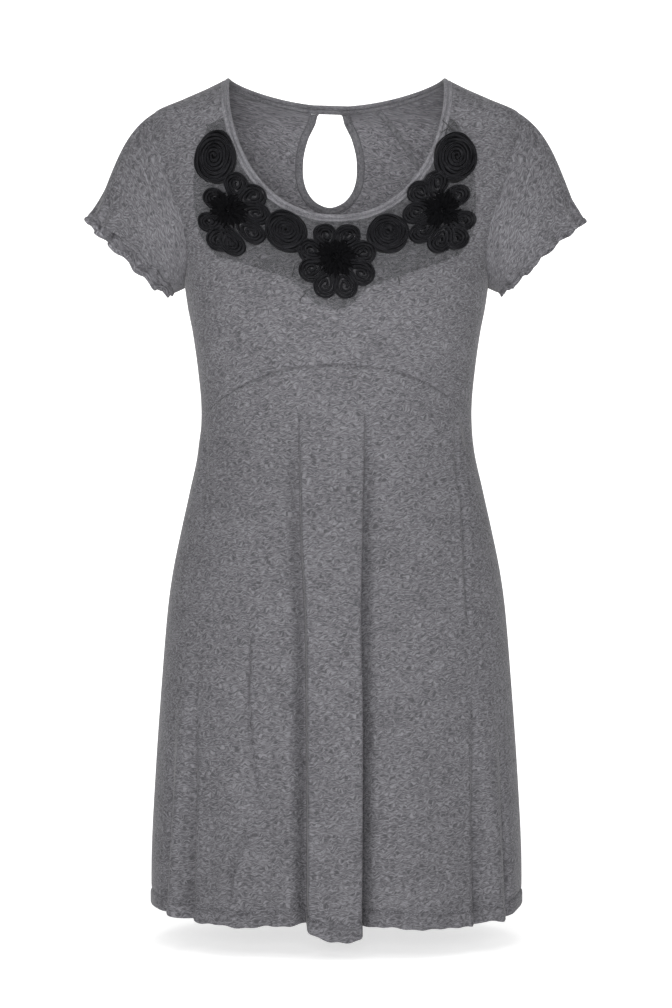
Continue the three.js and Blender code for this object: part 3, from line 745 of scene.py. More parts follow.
@dataclass(frozen=True)
class HeatherJersey:
    """Grey melange jersey: short curled streaks of lighter and darker fibre in a fine knit."""

    name: str = "heather_jersey"
    # brightness scales both colours; the inner-side copy uses it to paint the jersey lighter as
    # painted light.
    brightness: float = 1.0
    dark: Colour = (0.042, 0.041, 0.045)
    light: Colour = (0.170, 0.167, 0.180)
    fleck: tuple[float, float] = (7.0, 2.5)
    flecks: float = 0.33
    streaks: float = 1.65
    clouds: float = 0.3
    least: float = 0.14
    wale: float = 0.9

    def material(self) -> bpy.types.Material:
        """Build the material."""
        graph = Graph(self.name, Roughness=0.9, Sheen_Weight=0.12, Sheen_Roughness=0.3,
                      Specular_IOR_Level=0.2)
        across, down = graph.places()
        bend = graph.noise(graph.vector(across / 11.0, down / 8.0), 1.0)
        sway = graph.noise(graph.vector(across / 7.0 + 31.0, down / 12.0 + 7.0), 1.0)
        high = down + (bend - 0.5) * 8.0
        wide = across + (sway - 0.5) * 5.0
        length, width = self.fleck
        pale = graph.noise(graph.vector(wide / length, high / width), 1.0)
        deep = graph.noise(graph.vector(wide / length + 80.0, high / width + 60.0), 1.0)
        pale, deep = ((1.0 - graph.math("ABSOLUTE", each - 0.5, 0.0) * 9.0).clamped()
                      for each in (pale, deep))
        streak = graph.noise(graph.vector(wide / 5.0 + 40.0, (high + across * 0.15) / 1.15), 1.5,
                             0.6)
        cloud = graph.noise(graph.vector(across / 46.0, down / 30.0 + 3.0), 2.0, 0.5)
        tone = ((streak - 0.5) * self.streaks + (pale - deep) * self.flecks
                + (cloud - 0.5) * self.clouds + 0.5)
        tone = graph.math("MAXIMUM", tone, self.least).clamped()
        dark, light = (tuple(part * self.brightness for part in colour)
                       for colour in (self.dark, self.light))
        graph.feed("Base Color", graph.mix(tone, dark, light))
        wales = graph.wave(across * (2 * math.pi / self.wale))
        rows = graph.wave(down * (2 * math.pi / (self.wale * 1.3)))
        graph.bump(streak * 1.2 + pale * 0.4 + wales * rows * 0.12, 0.0005, 0.5)
        return graph.material


@dataclass(frozen=True)
class Binding:
    """The narrow strips round the neck and the keyhole: the jersey cut across its streaks."""

    name: str = "jersey_binding"
    dark: Colour = (0.066, 0.065, 0.071)
    light: Colour = (0.205, 0.202, 0.217)

    def material(self) -> bpy.types.Material:
        """Build the material."""
        graph = Graph(self.name, Roughness=0.9, Sheen_Weight=0.1, Sheen_Roughness=0.4,
                      Specular_IOR_Level=0.2)
        along, around = graph.places()
        fleck = graph.noise(graph.vector(along / 3.2, around / 1.6), 2.0, 0.6)
        cloud = graph.noise(graph.vector(along / 21.0, around / 9.0), 1.0)
        tone = ((fleck - 0.5) * 1.5 + (cloud - 0.5) * 0.6 + 0.5).clamped()
        graph.feed("Base Color", graph.mix(tone, self.dark, self.light))
        graph.bump(fleck, 0.0004, 0.5)
        return graph.material


@dataclass(frozen=True)
class Net:
    """Sheer dark net of fine threads, see-through between them."""

    name: str = "sheer_net"
    dark: Colour = (0.022, 0.024, 0.025)
    light: Colour = (0.036, 0.040, 0.041)
    cell: float = 0.9
    cover: float = 0.07

    def material(self) -> bpy.types.Material:
        """Build the material."""
        graph = Graph(self.name, Roughness=0.7, Sheen_Weight=0.2, Sheen_Roughness=0.5,
                      Specular_IOR_Level=0.3)
        across, down = graph.places()
        cells = graph.node("ShaderNodeTexVoronoi",
                           {"voronoi_dimensions": "2D", "feature": "DISTANCE_TO_EDGE"},
                           {"Vector": graph.vector(across / self.cell, down / self.cell),
                            "Scale": 1.0, "Randomness": 0.25})
        thread = 1.0 - (cells * 7.0).clamped()
        cloud = graph.noise(graph.vector(across / 14.0, down / 9.0), 2.0)
        tone = (cloud * 0.8 + 0.1).clamped()
        graph.feed("Base Color", graph.mix(tone, self.dark, self.light))
        graph.feed("Alpha", (thread * 0.28 + (cloud - 0.5) * 0.16 + self.cover).clamped())
        return graph.material


@dataclass(frozen=True)
class Ribbon:
    """Soft black ribbon with fine crinkles along it, and painted highlight along the two crests of
    its outline, darker at its foot.
    """

    name: str = "black_ribbon"
    dark: Colour = (0.0018, 0.0018, 0.0022)
    light: Colour = (0.018, 0.018, 0.021)
    rough: float = 0.55
    gloss: float = 0.15

    def material(self) -> bpy.types.Material:
        """Build the material."""
        graph = Graph(self.name, Roughness=self.rough, Sheen_Weight=0.03, Sheen_Roughness=0.3,
                      Sheen_Tint=(0.75, 0.75, 0.82), Specular_IOR_Level=self.gloss)
        along, around = graph.places()
        crinkle = graph.noise(graph.vector(along / 3.5, around / 0.8), 3.0, 0.6)
        # Painted highlight: the colour is lighter along the two crests of the outline, a little
        # darker in the dip between them and darkest at the foot of the band.
        crests = ((0.0, 0), (0.17, 0.1), (0.27, 1), (0.40, 0.25), (0.47, 0.3), (0.61, 1),
                  (0.72, 0.1), (1.0, 0))
        stops = [(place, (grey, grey, grey)) for place, grey in crests]
        painted_crest_highlight = graph.node("ShaderNodeValToRGB", {"stops": stops}, {0: around / RIBBON_SIDES})
        tone = ((crinkle - 0.5) * 1.5 + painted_crest_highlight * 0.75 + 0.12).clamped()
        graph.feed("Base Color", graph.mix(tone, self.dark, self.light))
        graph.bump(crinkle, 0.0006, 0.6)
        return graph.material


@dataclass(frozen=True)
class Thread:
    """Sewing thread with a fine twist."""

    name: str
    dark: Colour
    light: Colour

    def material(self) -> bpy.types.Material:
        """Build the material."""
        graph = Graph(self.name, Roughness=0.7, Sheen_Weight=0.2, Specular_IOR_Level=0.3)
        along, around = graph.places()
        twist = graph.wave(along * 5.0 + around * 2.1)
        graph.feed("Base Color", graph.mix((twist * 0.5 + 0.5).clamped(), self.dark, self.light))
        graph.bump(twist, 0.0001, 0.4)
        return graph.material


@dataclass(frozen=True)
class PaleFloor:
    """Smooth pale studio floor that glows as painted light: dimmer near the middle, so the contact
    shadow under the hem shows, and nearly white further off.
    """

    name: str = "pale_floor"

    def material(self) -> bpy.types.Material:
        """Build the material."""
        graph = Graph(self.name, Roughness=0.95, Specular_IOR_Level=0.0,
                      Emission_Strength=1.0)
        spot = graph.node("ShaderNodeTexCoord", {}, {}, "Object")
        away = graph.node("ShaderNodeVectorMath", {"operation": "LENGTH"}, {0: spot}, 1)
        # Painted light: the floor's glow is dimmer near the middle than far off.
        far = ((away - 0.75) / 0.9).clamped()
        graph.feed("Emission Color", graph.mix(far, (0.57, 0.57, 0.57), (0.96, 0.96, 0.96)))
        cloud = graph.noise(spot, 2.0, 0.5, flat=False)
        graph.feed("Base Color", graph.mix(cloud, (0.65, 0.65, 0.65), (0.67, 0.67, 0.67)))
        return graph.material


class Finishes:
    """Every material of the dress, made once."""

    def __init__(self) -> None:
        """Make them."""
        self.jersey = HeatherJersey().material()
        # The cloth's inner side is the same jersey painted 1.55 times lighter: painted light,
        # standing in for light that hardly reaches inside the dress.
        self.reverse = HeatherJersey("heather_jersey_inside_painted_light", 1.55).material()
        self.binding = Binding().material()
        self.net = Net().material()
        self.ribbon = Ribbon().material()
        self.tuft = Ribbon("black_tuft", (0.0015, 0.0015, 0.0018), (0.006, 0.006, 0.007), 0.8,
                           0.03).material()
        self.thread = Thread("grey_thread", (0.10, 0.10, 0.11), (0.24, 0.24, 0.26)).material()
        self.black_thread = Thread("black_thread", (0.01, 0.01, 0.011),
                                   (0.03, 0.03, 0.032)).material()


# ---- Patterns of the panels ----


@dataclass
class Pattern:
    """Edges that the panels share, as lists of stations."""

    dress: Dress
    neck_half: float = 110.0
    front_drop: float = 151.0
    back_drop: float = 19.0
    front_power: float = 2.15
    back_power: float = 1.8
    binding: float = 8.0
    armhole_top: float = -35.0
    armhole_bottom: float = -216.0
    armhole_depth: float = 55.0
    lowness: float = 1.25
    keyhole_x: float = -7.0
    keyhole: tuple[tuple[float, float], ...] = (
        (11.6, -26), (15.4, -36), (19.4, -44), (23.3, -52), (27.6, -68), (28.7, -83), (27.5, -96),
        (23, -108), (14, -118), (0, -123),
    )

    def front_neck(self, down: Array, out: Array) -> tuple[Array, Array]:
        """Station of the front neckline, from the shoulder (0) to the centre (1)."""
        body, reach = self.dress.body, self.neck_half + out
        top = body.shoulder_level(reach + 0 * down)
        sweep = SIDE * down**1.5
        x = reach * np.cos(sweep).clip(0) ** (2 / self.front_power)
        drop = self.front_drop + out + top
        z = top - drop * np.sin(sweep) ** (2 / self.front_power)
        turn = np.where(down <= 0, body.seam_turn(True, z), body.turn_of(x, z))
        return turn, z

    def back_neck(self, side: int, across: Array, out: Array) -> tuple[Array, Array]:
        """Station of the back neckline on one side, from the shoulder (0) to the keyhole (1)."""
        body, reach = self.dress.body, self.neck_half + out
        top = body.shoulder_level(reach + 0 * across)
        corner = self.keyhole_x * side + self.keyhole[0][0] + self.binding
        ratio = lerp(1.0, corner / (self.neck_half + self.binding), across**1.6)
        z = top - (self.back_drop + out + top) * (1 - np.abs(ratio) ** self.back_power)
        turn = np.where(across <= 0, body.seam_turn(False, z),
                        body.turn_of(ratio * reach, z, False))
        return turn, z

    def armhole(self, front: bool, down: Array) -> tuple[Array, Array]:
        """Station of the armhole, from the shoulder point (0) to the armpit (1)."""
        body = self.dress.body
        middle = (self.armhole_top + self.armhole_bottom) / 2
        z = middle + (self.armhole_top - middle) * np.cos(math.pi * down)
        y = self.armhole_depth * np.sin(math.pi * down**self.lowness)
        depth = body.levels.smooth("front" if front else "back", z)
        turn = np.arccos((np.maximum(y, 0) / depth) ** (body.power / 2))
        edge = body.seam_turn(front, z)
        return np.minimum(turn, edge) if front else np.maximum(math.pi - turn, edge), z

    @staticmethod
    def empire(x: Array) -> Array:
        """Level of the empire seam at a given x."""
        return -301.0 - 43.7 * (np.abs(x) / 134.0) ** 2.4

    def empire_on(self, turn_at: Callable[[Array], Array]) -> tuple[Array, Array]:
        """Station on the empire seam, on a line whose turn depends on the level."""
        z = turn_at(np.float64(-301.0)) * 0 - 301.0
        for _ in range(12):
            z = self.empire(self.dress.body.bare(turn_at(z), z)[..., 0])
        return turn_at(z), z

    def keyhole_edge(self, side: int, place: Array, out: float, top: float) -> tuple[Array, Array]:
        """Station of the keyhole's outline on one side, from its top corner (0) to its foot (9)."""
        ring = [*self.keyhole, *((-half, z) for half, z in self.keyhole[-2::-1])]
        ahead, behind = spline(ring, place + 0.05), spline(ring, np.maximum(place - 0.05, 0))
        along = unit(ahead - behind)
        spot = spline(ring, place)
        x = spot[..., 0] - along[..., 1] * out
        z = spot[..., 1] + along[..., 0] * out
        z = lerp(z, top, 1 - smoothstep(place))
        x = np.where(place >= 8.999, 0.0, x)
        turn = self.dress.body.turn_of(self.keyhole_x + side * x, z, False)
        return np.where(turn * side < 0, turn + side * 2 * math.pi, turn), z


# ---- Sewing ----


@dataclass(frozen=True)
class Stitching:
    """A row of short thread stitches along a line on the cloth."""

    pitch: float = 3.0
    share: float = 0.72
    radius: float = 0.28

    def along(self, path: Array, up: Array, closed: bool = False) -> Solid:
        """Lay stitches along a line.

        Args:
            path: points of the line.
            up: direction off the cloth at each point.
            closed: carry on from the last point to the first.

        Returns:
            The stitches.
        """
        if closed:
            path, up = np.r_[path, path[:1]], np.r_[up, up[:1]]
        length = distances(path)
        count = max(int(length[-1] / self.pitch), 2)
        profile = circle(self.radius, 0.8)
        bow = np.array([-0.35, 0.12, 0.2, 0.12, -0.35])[:, None]
        scale = np.array([0.5, 0.95, 1, 0.95, 0.5])
        parts = []
        for index in range(count):
            start = index * length[-1] / count
            spots = start + np.linspace(0, self.share * length[-1] / count, 5)
            line, lift = (np.stack([np.interp(spots, length, column) for column in data.T], -1)
                          for data in (path, up))
            parts.append(swept(line + unit(lift) * bow, lift, profile, scale))
        return Solid.several(parts)


# ---- Panels ----


@dataclass
class FrontBodice:
    """The front above the empire seam, from the neckline and armholes down."""

    pattern: Pattern
    finishes: Finishes
    arm_rows: int = 64
    side_rows: int = 14
    seam_rows: int = 60
    columns: int = 50
    yoke_start: float = 0.31
    flat: tuple[float, float] = (0.46, 0.345)
    area: float = 0.100

    def rows(self) -> Array:
        """Rows in the pattern's own count: armhole 0 to 12, side to 15, empire seam to 22."""
        arm = np.linspace(0, 12, self.arm_rows, endpoint=False)
        side = np.linspace(12, 15, self.side_rows, endpoint=False)
        return np.r_[arm, side, np.linspace(15, 22, self.seam_rows)]

    def neck_share(self, row: Array) -> Array:
        """How far down the neckline a row starts."""
        above, below = self.yoke_start * row / 3, lerp(self.yoke_start, 1.0, (row - 3) / 19)
        return np.where(row <= 3, above, below)

    def outer(self, row: Array) -> tuple[Array, Array]:
        """Station of a row's outer end."""
        body = self.pattern.dress.body
        arm_turn, arm_z = self.pattern.armhole(True, np.clip(row / 12, 0, 1))
        wanted = SIDE * (1 - np.clip((row - 15) / 7, 0, 1))
        seam_turn, seam_z = self.pattern.empire_on(
            lambda z: np.minimum(wanted, body.seam_turn(True, z)))
        corner = seam_z[np.argmin(np.abs(row - 15))]
        side_z = lerp(self.pattern.armhole_bottom, corner, np.clip((row - 12) / 3, 0, 1))
        side_turn = body.seam_turn(True, side_z)
        turn = np.where(row <= 12, arm_turn, np.where(row < 15, side_turn, seam_turn))
        return turn, np.where(row <= 12, arm_z, np.where(row < 15, side_z, seam_z))

    def build(self) -> bpy.types.Object:
        """Make the panel."""
        dress, row = self.pattern.dress, self.rows()
        neck_turn, neck_z = self.pattern.front_neck(self.neck_share(row), self.pattern.binding)
        turn, z = self.outer(row)
        near = np.linspace(0, 0.965, self.columns - 5)
        share = np.r_[near, 0.975, 0.983, 0.99, 0.996, 1.0]
        turns = lerp(neck_turn[:, None], turn[:, None], share)
        levels = lerp(neck_z[:, None], z[:, None], share)
        turns = np.r_[turns, -turns[-2::-1]]
        levels = np.r_[levels, levels[-2::-1]]
        points, normals = dress.detailed(turns, levels)
        points = points + normals * rolled_seam(points[..., 0], levels)[..., None]
        sheet = Sheet.grid(points, normals, dress.cloth(turns, levels))
        made = sheet.panel("front_bodice", self.finishes)
        return made


def rolled_seam(x: Array, z: Array) -> Array:
    """How far the cloth turns in at the empire seam, which fades out towards the sides."""
    off = z - Pattern.empire(x)
    shown = smoothstep((128 + 8 * np.sign(-x) - np.abs(x)) / 16)
    ledge = 0.7 * smoothstep((off + 0.2) / 0.8) * np.exp(-((np.maximum(off, 0) / 7) ** 2))
    return shown * (ledge - 1.7 * np.exp(-((off / 1.3) ** 2)))


@dataclass
class FrontSkirt:
    """The front below the empire seam, with the box pleat."""

    pattern: Pattern
    finishes: Finishes
    pleat_columns: int = 36
    step_columns: int = 6
    side_columns: int = 106
    body_rows: int = 142
    step: float = 4.0
    flat: tuple[float, float] = (0.56, 0.56)
    area: float = 0.27
    hem: Table = Table("z", [
        (-191, -847), (-165, -850), (-135, -853.5), (-108, -855.2), (-85, -856), (-62, -853),
        (-45, -852.2), (-28, -851.5), (25, -852.5), (42, -853.4), (60, -855), (92, -858),
        (118, -856.5), (143, -858), (153, -853), (166, -857), (178, -854), (191, -847),
    ])
    pleat_hem: Table = Table("z", [(-27, -859), (-10, -866), (8, -869), (16, -868), (23, -864)])

    def turn_at(self, column: Array, z: Array) -> Array:
        """Turn of a column, which keeps to the pleat's edges and to the foot of its steps.

        Args:
            column: from -1 to 1 on the pleat, to 2 on its step and to 3 at the side seam.
            z: level.
        """
        body, pleat = self.pattern.dress.body, self.pattern.dress.pleat
        left, right = (pleat.edges.smooth(name, z) for name in ("left", "right"))
        side = np.where(column < 0, -1.0, 1.0)
        edge = np.where(column < 0, left, right)
        on_pleat = lerp(left, right, (column + 1) / 2)
        foot = edge + side * self.step
        on_step = lerp(edge, foot, np.clip(np.abs(column) - 1, 0, 1))
        inner = body.turn_of(np.where(np.abs(column) <= 1, on_pleat, on_step), z)
        beyond = lerp(body.turn_of(foot, z), side * body.seam_turn(True, z),
                      np.clip(np.abs(column) - 2, 0, 1))
        return np.where(np.abs(column) <= 2, inner, beyond)

    def columns(self) -> Array:
        """The panel's columns, from one side seam to the other."""
        beyond = 2 + np.linspace(0, 1, self.side_columns + 1)[1:] ** 1.12
        step = np.linspace(1, 2, self.step_columns + 1)[1:]
        pleat = np.linspace(-1, 1, self.pleat_columns + 1)
        return np.r_[-beyond[::-1], -step[::-1], pleat, step, beyond]

    def hem_level(self, column: Array) -> Array:
        """Level of the hem's edge at each column, which ripples a little."""
        low = np.full(len(column), LOWEST)
        x = self.pattern.dress.body.bare(self.turn_at(column, low), low)[:, 0]
        on_pleat, beside = self.pleat_hem.smooth("z", x), self.hem.smooth("z", x)
        ripple = 0.7 * np.sin(x / 6.7) + 0.5 * np.sin(x / 2.9 + 1.0) + 0.5 * np.sin(x / 15 + 2)
        return lerp(on_pleat, beside, smoothstep(np.abs(column) - 1)) + ripple

    @staticmethod
    def turn_up(x: Array, up: Array) -> Array:
        """How far the hem's turn-up stands out at a height over its edge, with its sewn groove."""
        pucker = 1 + 0.35 * np.sin(x / 2.9) * np.sin(x / 7.3)
        groove = -1.7 * np.exp(-(((up - HEM_FOLD) / 1.5) ** 2)) * pucker
        fullness = 0.8 * smoothstep((HEM_FOLD - up) / 3) * pucker
        return groove + fullness - 0.6 * smoothstep((1.6 - up) / 1.6)

    def build(self) -> bpy.types.Object:
        """Make the panel."""
        dress, column = self.pattern.dress, self.columns()
        _, top = self.pattern.empire_on(lambda z: self.turn_at(column, z + 0 * column))
        hem = self.hem_level(column)
        beside_groove = np.array([5, 2.4, 1.2, 0, -1.2, -2.4, -5])
        foot = np.r_[HEM_FOLD + beside_groove, 6.5, 3.5, 1.6, 0.6, 0.0]
        rows = [top - step for step in (0, 0.7, 1.4, 2.2, 3.2, 4.5, 6.5, 9)]
        rows += [lerp(top - 12, hem + HEM_FOLD + 8, share)
                 for share in np.linspace(0, 1, self.body_rows)]
        rows += [hem + height for height in foot]
        levels = np.array(rows)
        turns = self.turn_at(column[None] + 0 * levels, levels)
        points, normals = dress.detailed(turns, levels)
        points = points + normals * rolled_seam(points[..., 0], levels)[..., None]
        points = points + normals * self.turn_up(points[..., 0], levels - hem)[..., None]
        steps = np.linalg.norm(np.diff(points, axis=1), axis=-1)
        across = np.c_[np.zeros(len(levels)), np.cumsum(steps, axis=1)]
        across = across - across[:, len(column) // 2, None]
        sheet = Sheet.grid(points, normals, np.stack([across, -levels], -1))
        made = sheet.panel("front_skirt", self.finishes)
        row = len(levels) - len(foot) + 3
        sewing = Stitching().along(points[row], normals[row]).piece(
            "front_hem_stitches", self.finishes.thread, "jersey", ())
        return made


@dataclass
class Back:
    """The whole back, from the neckline and the keyhole down to the hem."""

    pattern: Pattern
    finishes: Finishes
    finer: int = 7
    columns: int = 62
    hem: float = -857.0
    side_hem: float = -847.0
    flat: tuple[float, float] = (0.56, 0.87)
    area: float = 0.375

    def inner(self, side: int, row: Array) -> tuple[Array, Array]:
        """Station of a row's inner end: neckline 0 to 4, keyhole to 13, centre to 27."""
        out = self.pattern.binding
        neck_turn, neck_z = self.pattern.back_neck(side, np.clip(row / 4, 0, 1), out)
        corner = float(self.pattern.back_neck(side, np.array([1.0]), out)[1][0])
        hole_turn, hole_z = self.pattern.keyhole_edge(side, np.clip(row - 4, 0, 9), out, corner)
        foot = self.pattern.keyhole[-1][1] - out
        centre_z = lerp(foot, self.hem, np.clip((row - 13) / 14, 0, 1))
        centre = self.pattern.dress.body.turn_of(self.pattern.keyhole_x + 0 * row, centre_z, False)
        turn = np.where(row < 13, hole_turn, centre) * side
        turn = np.where(turn < 0, turn + 2 * math.pi, turn)
        turn = np.where(row < 4, neck_turn, turn)
        return turn, np.where(row < 4, neck_z, np.where(row < 13, hole_z, centre_z))

    def outer(self, row: Array) -> tuple[Array, Array]:
        """Station of a row's outer end: armhole 0 to 12, side seam to 27."""
        turn, z = self.pattern.armhole(False, np.clip(row / 12, 0, 1))
        side_z = lerp(self.pattern.armhole_bottom, self.side_hem, np.clip((row - 12) / 15, 0, 1))
        side_turn = self.pattern.dress.body.seam_turn(False, side_z)
        return np.where(row <= 12, turn, side_turn), np.where(row <= 12, z, side_z)

    def build(self) -> bpy.types.Object:
        """Make the panel."""
        dress = self.pattern.dress
        row = np.linspace(0, 27, 27 * self.finer + 1)
        share = np.linspace(0, 1, self.columns + 1)
        halves = []
        for side in (1, -1):
            inner_turn, inner_z = self.inner(side, row)
            outer_turn, outer_z = self.outer(row)
            turns = side * lerp(inner_turn[:, None], outer_turn[:, None], share)
            levels = lerp(inner_z[:, None], outer_z[:, None], share)
            points, normals = dress.detailed(turns, levels)
            whole = np.where(np.abs(turns) > math.pi, np.sign(turns), 0.0)
            cloth = dress.cloth(turns - 2 * math.pi * whole, levels)
            girth = 2 * dress.cloth(np.full_like(turns, math.pi), levels)[..., 0]
            cloth[..., 0] += girth * (whole if side > 0 else whole + 1)
            halves.append(Sheet.grid(points, normals, cloth, flip=side > 0))
        made = halves[0].joined(halves[1]).panel("back", self.finishes)
        seam = self.inner_seam().piece("back_inner_seam", self.finishes.binding, "jersey", ())
        return made

    def inner_seam(self) -> Solid:
        """The slanting seam on the inside of the right shoulder: two narrow turned edges."""
        dress = self.pattern.dress
        line = evenly([(46, -22), (60, -37), (78, -63), (94, -88), (103, -112)], 60)
        turn, z = dress.body.turn_of(line[:, 0], line[:, 1], False), line[:, 1]
        path = dress.point(turn, z, -1.1)
        inward = -dress.normal(dress.smooth_point, turn, z)
        profile = np.array([(-0.9, -0.2), (-0.7, 0.9), (0.6, 1.2), (2.6, 1.9), (4.7, 2.3),
                            (5.1, 1.9), (4.8, 1.5), (2.6, 1.0), (0.8, 0.3), (0.2, -0.3)])
        return swept(path, inward, profile)


# ---- Bindings ----


def rounded_shoulders(grid: Array, passes: int = 30) -> Array:
    """Round off a closed strip's rings where they pass over the shoulders."""
    share = smoothstep((np.abs(grid[..., :1]) - 90) / 14) * smoothstep((grid[..., 2:] + 22) / 14)
    for _ in range(passes):
        mean = (np.roll(grid, 1, 0) + np.roll(grid, -1, 0)) / 2
        grid = lerp(grid, mean, 0.5 * share)
    return grid


@dataclass
class NeckBinding:
    """The folded strip round the neck, with a sewn groove between its two welts."""

    pattern: Pattern
    finishes: Finishes
    front_steps: int = 150
    back_steps: int = 60
    groove: float = 4.1
    flat: tuple[float, float] = (0.016, 0.74)

    def profile(self) -> tuple[Array, Array]:
        """Distances out from the free edge, and heights over the body, round the strip."""
        out = np.array([0.0, 0.25, 1.0, 2.1, 3.1, 3.7, 4.1, 4.5, 5.2, 6.2, 7.2, 7.9, 8.15])
        top = np.array([-0.5, 0.45, 1.15, 1.3, 1.0, 0.2, -0.7, 0.2, 0.95, 1.2, 1.0, 0.3, -0.8])
        low = np.array([-0.9, -1.7, -2.2, -2.3, -2.1, -1.6, -1.0, -1.6, -2.1, -2.3, -2.2,
                        -1.7, -1.0])
        return np.r_[out, out[::-1]], np.r_[top, low[::-1]]

    def ring(self, out: float) -> tuple[Array, Array]:
        """Stations of the whole neckline at a distance from its free edge."""
        down = np.linspace(0, 1, self.front_steps + 1)
        turn, z = self.pattern.front_neck(down, out)
        across = np.linspace(0, 1, self.back_steps + 1)
        left, left_z = self.pattern.back_neck(-1, across, out)
        right, right_z = self.pattern.back_neck(1, across, out)
        turns = np.r_[turn, -turn[-2::-1], -left[1:], right[::-1][:-1]]
        return turns, np.r_[z, z[-2::-1], left_z[1:], right_z[::-1][:-1]]

    def build(self) -> bpy.types.Object:
        """Make the strip and its stitches."""
        dress = self.pattern.dress
        outs, heights = self.profile()
        rings = [dress.point(*self.ring(out), height) for out, height in zip(outs, heights)]
        grid = rounded_shoulders(np.stack(rings, 1))
        solid = tube(grid, distances(grid[:, 6], closed=True), BINDING_STEP, closed=True)
        solid = Solid(solid.points, solid.quads[:, ::-1], solid.cloth[:, ::-1])
        made = solid.piece("neck_binding_strip", self.finishes.binding, "binding",
                           ("neck_binding",))
        turn, z = self.ring(self.groove)
        normal = dress.normal(dress.smooth_point, turn, z)
        back = np.abs(turn) > SIDE
        inside = dress.point(turn, z, -1.5)
        rows = [Stitching(2.6).along(dress.point(turn, z, -0.1), normal, closed=True),
                Stitching(2.6).along(inside[back], -normal[back])]
        sewing = Solid.several(rows).piece("neck_stitches", self.finishes.thread, "binding", ())
        return made


@dataclass
class KeyholeBinding:
    """The facing round the keyhole, with a row of stitches along its outer edge."""

    pattern: Pattern
    finishes: Finishes
    steps: int = 90
    groove: float = 7.3
    flat: tuple[float, float] = (0.0105, 0.25)

    def edge(self, out: float) -> tuple[Array, Array]:
        """Stations round the keyhole at a distance from its free edge."""
        top = float(self.pattern.back_neck(1, np.array([1.0]), 8.0)[1][0])
        place = np.linspace(0, 9, self.steps + 1)
        right, right_z = self.pattern.keyhole_edge(1, place, out, top)
        left, left_z = self.pattern.keyhole_edge(-1, place, out, top)
        left = left + 2 * math.pi
        return np.r_[right, left[-2::-1]], np.r_[right_z, left_z[-2::-1]]

    def build(self) -> bpy.types.Object:
        """Make the facing and its stitches."""
        dress = self.pattern.dress
        outs = np.array([0.0, 0.3, 1.2, 3.0, 5.0, 6.6, 7.3, 7.8, 8.3])
        top = np.array([-0.4, 0.3, 0.6, 0.6, 0.5, 0.3, -0.1, 0.2, -0.5])
        low = np.array([-1.0, -1.8, -2.4, -2.6, -2.6, -2.3, -1.5, -2.1, -1.2])
        profile = zip(np.r_[outs, outs[::-1]], np.r_[top, low[::-1]])
        grid = np.stack([dress.point(*self.edge(out), height) for out, height in profile], 1)
        made = tube(grid, distances(grid[:, 4]), BINDING_STEP).piece(
            "keyhole_facing", self.finishes.binding, "binding", ("keyhole_binding",))
        turn, z = self.edge(self.groove)
        normal = dress.normal(dress.smooth_point, turn, z)
        rows = [Stitching(2.6).along(dress.point(turn, z), normal),
                Stitching(2.6).along(dress.point(turn, z, -1.7), -normal)]
        sewing = Solid.several(rows).piece("keyhole_stitches", self.finishes.thread, "binding", ())
        return made


# ---- Sleeves ----


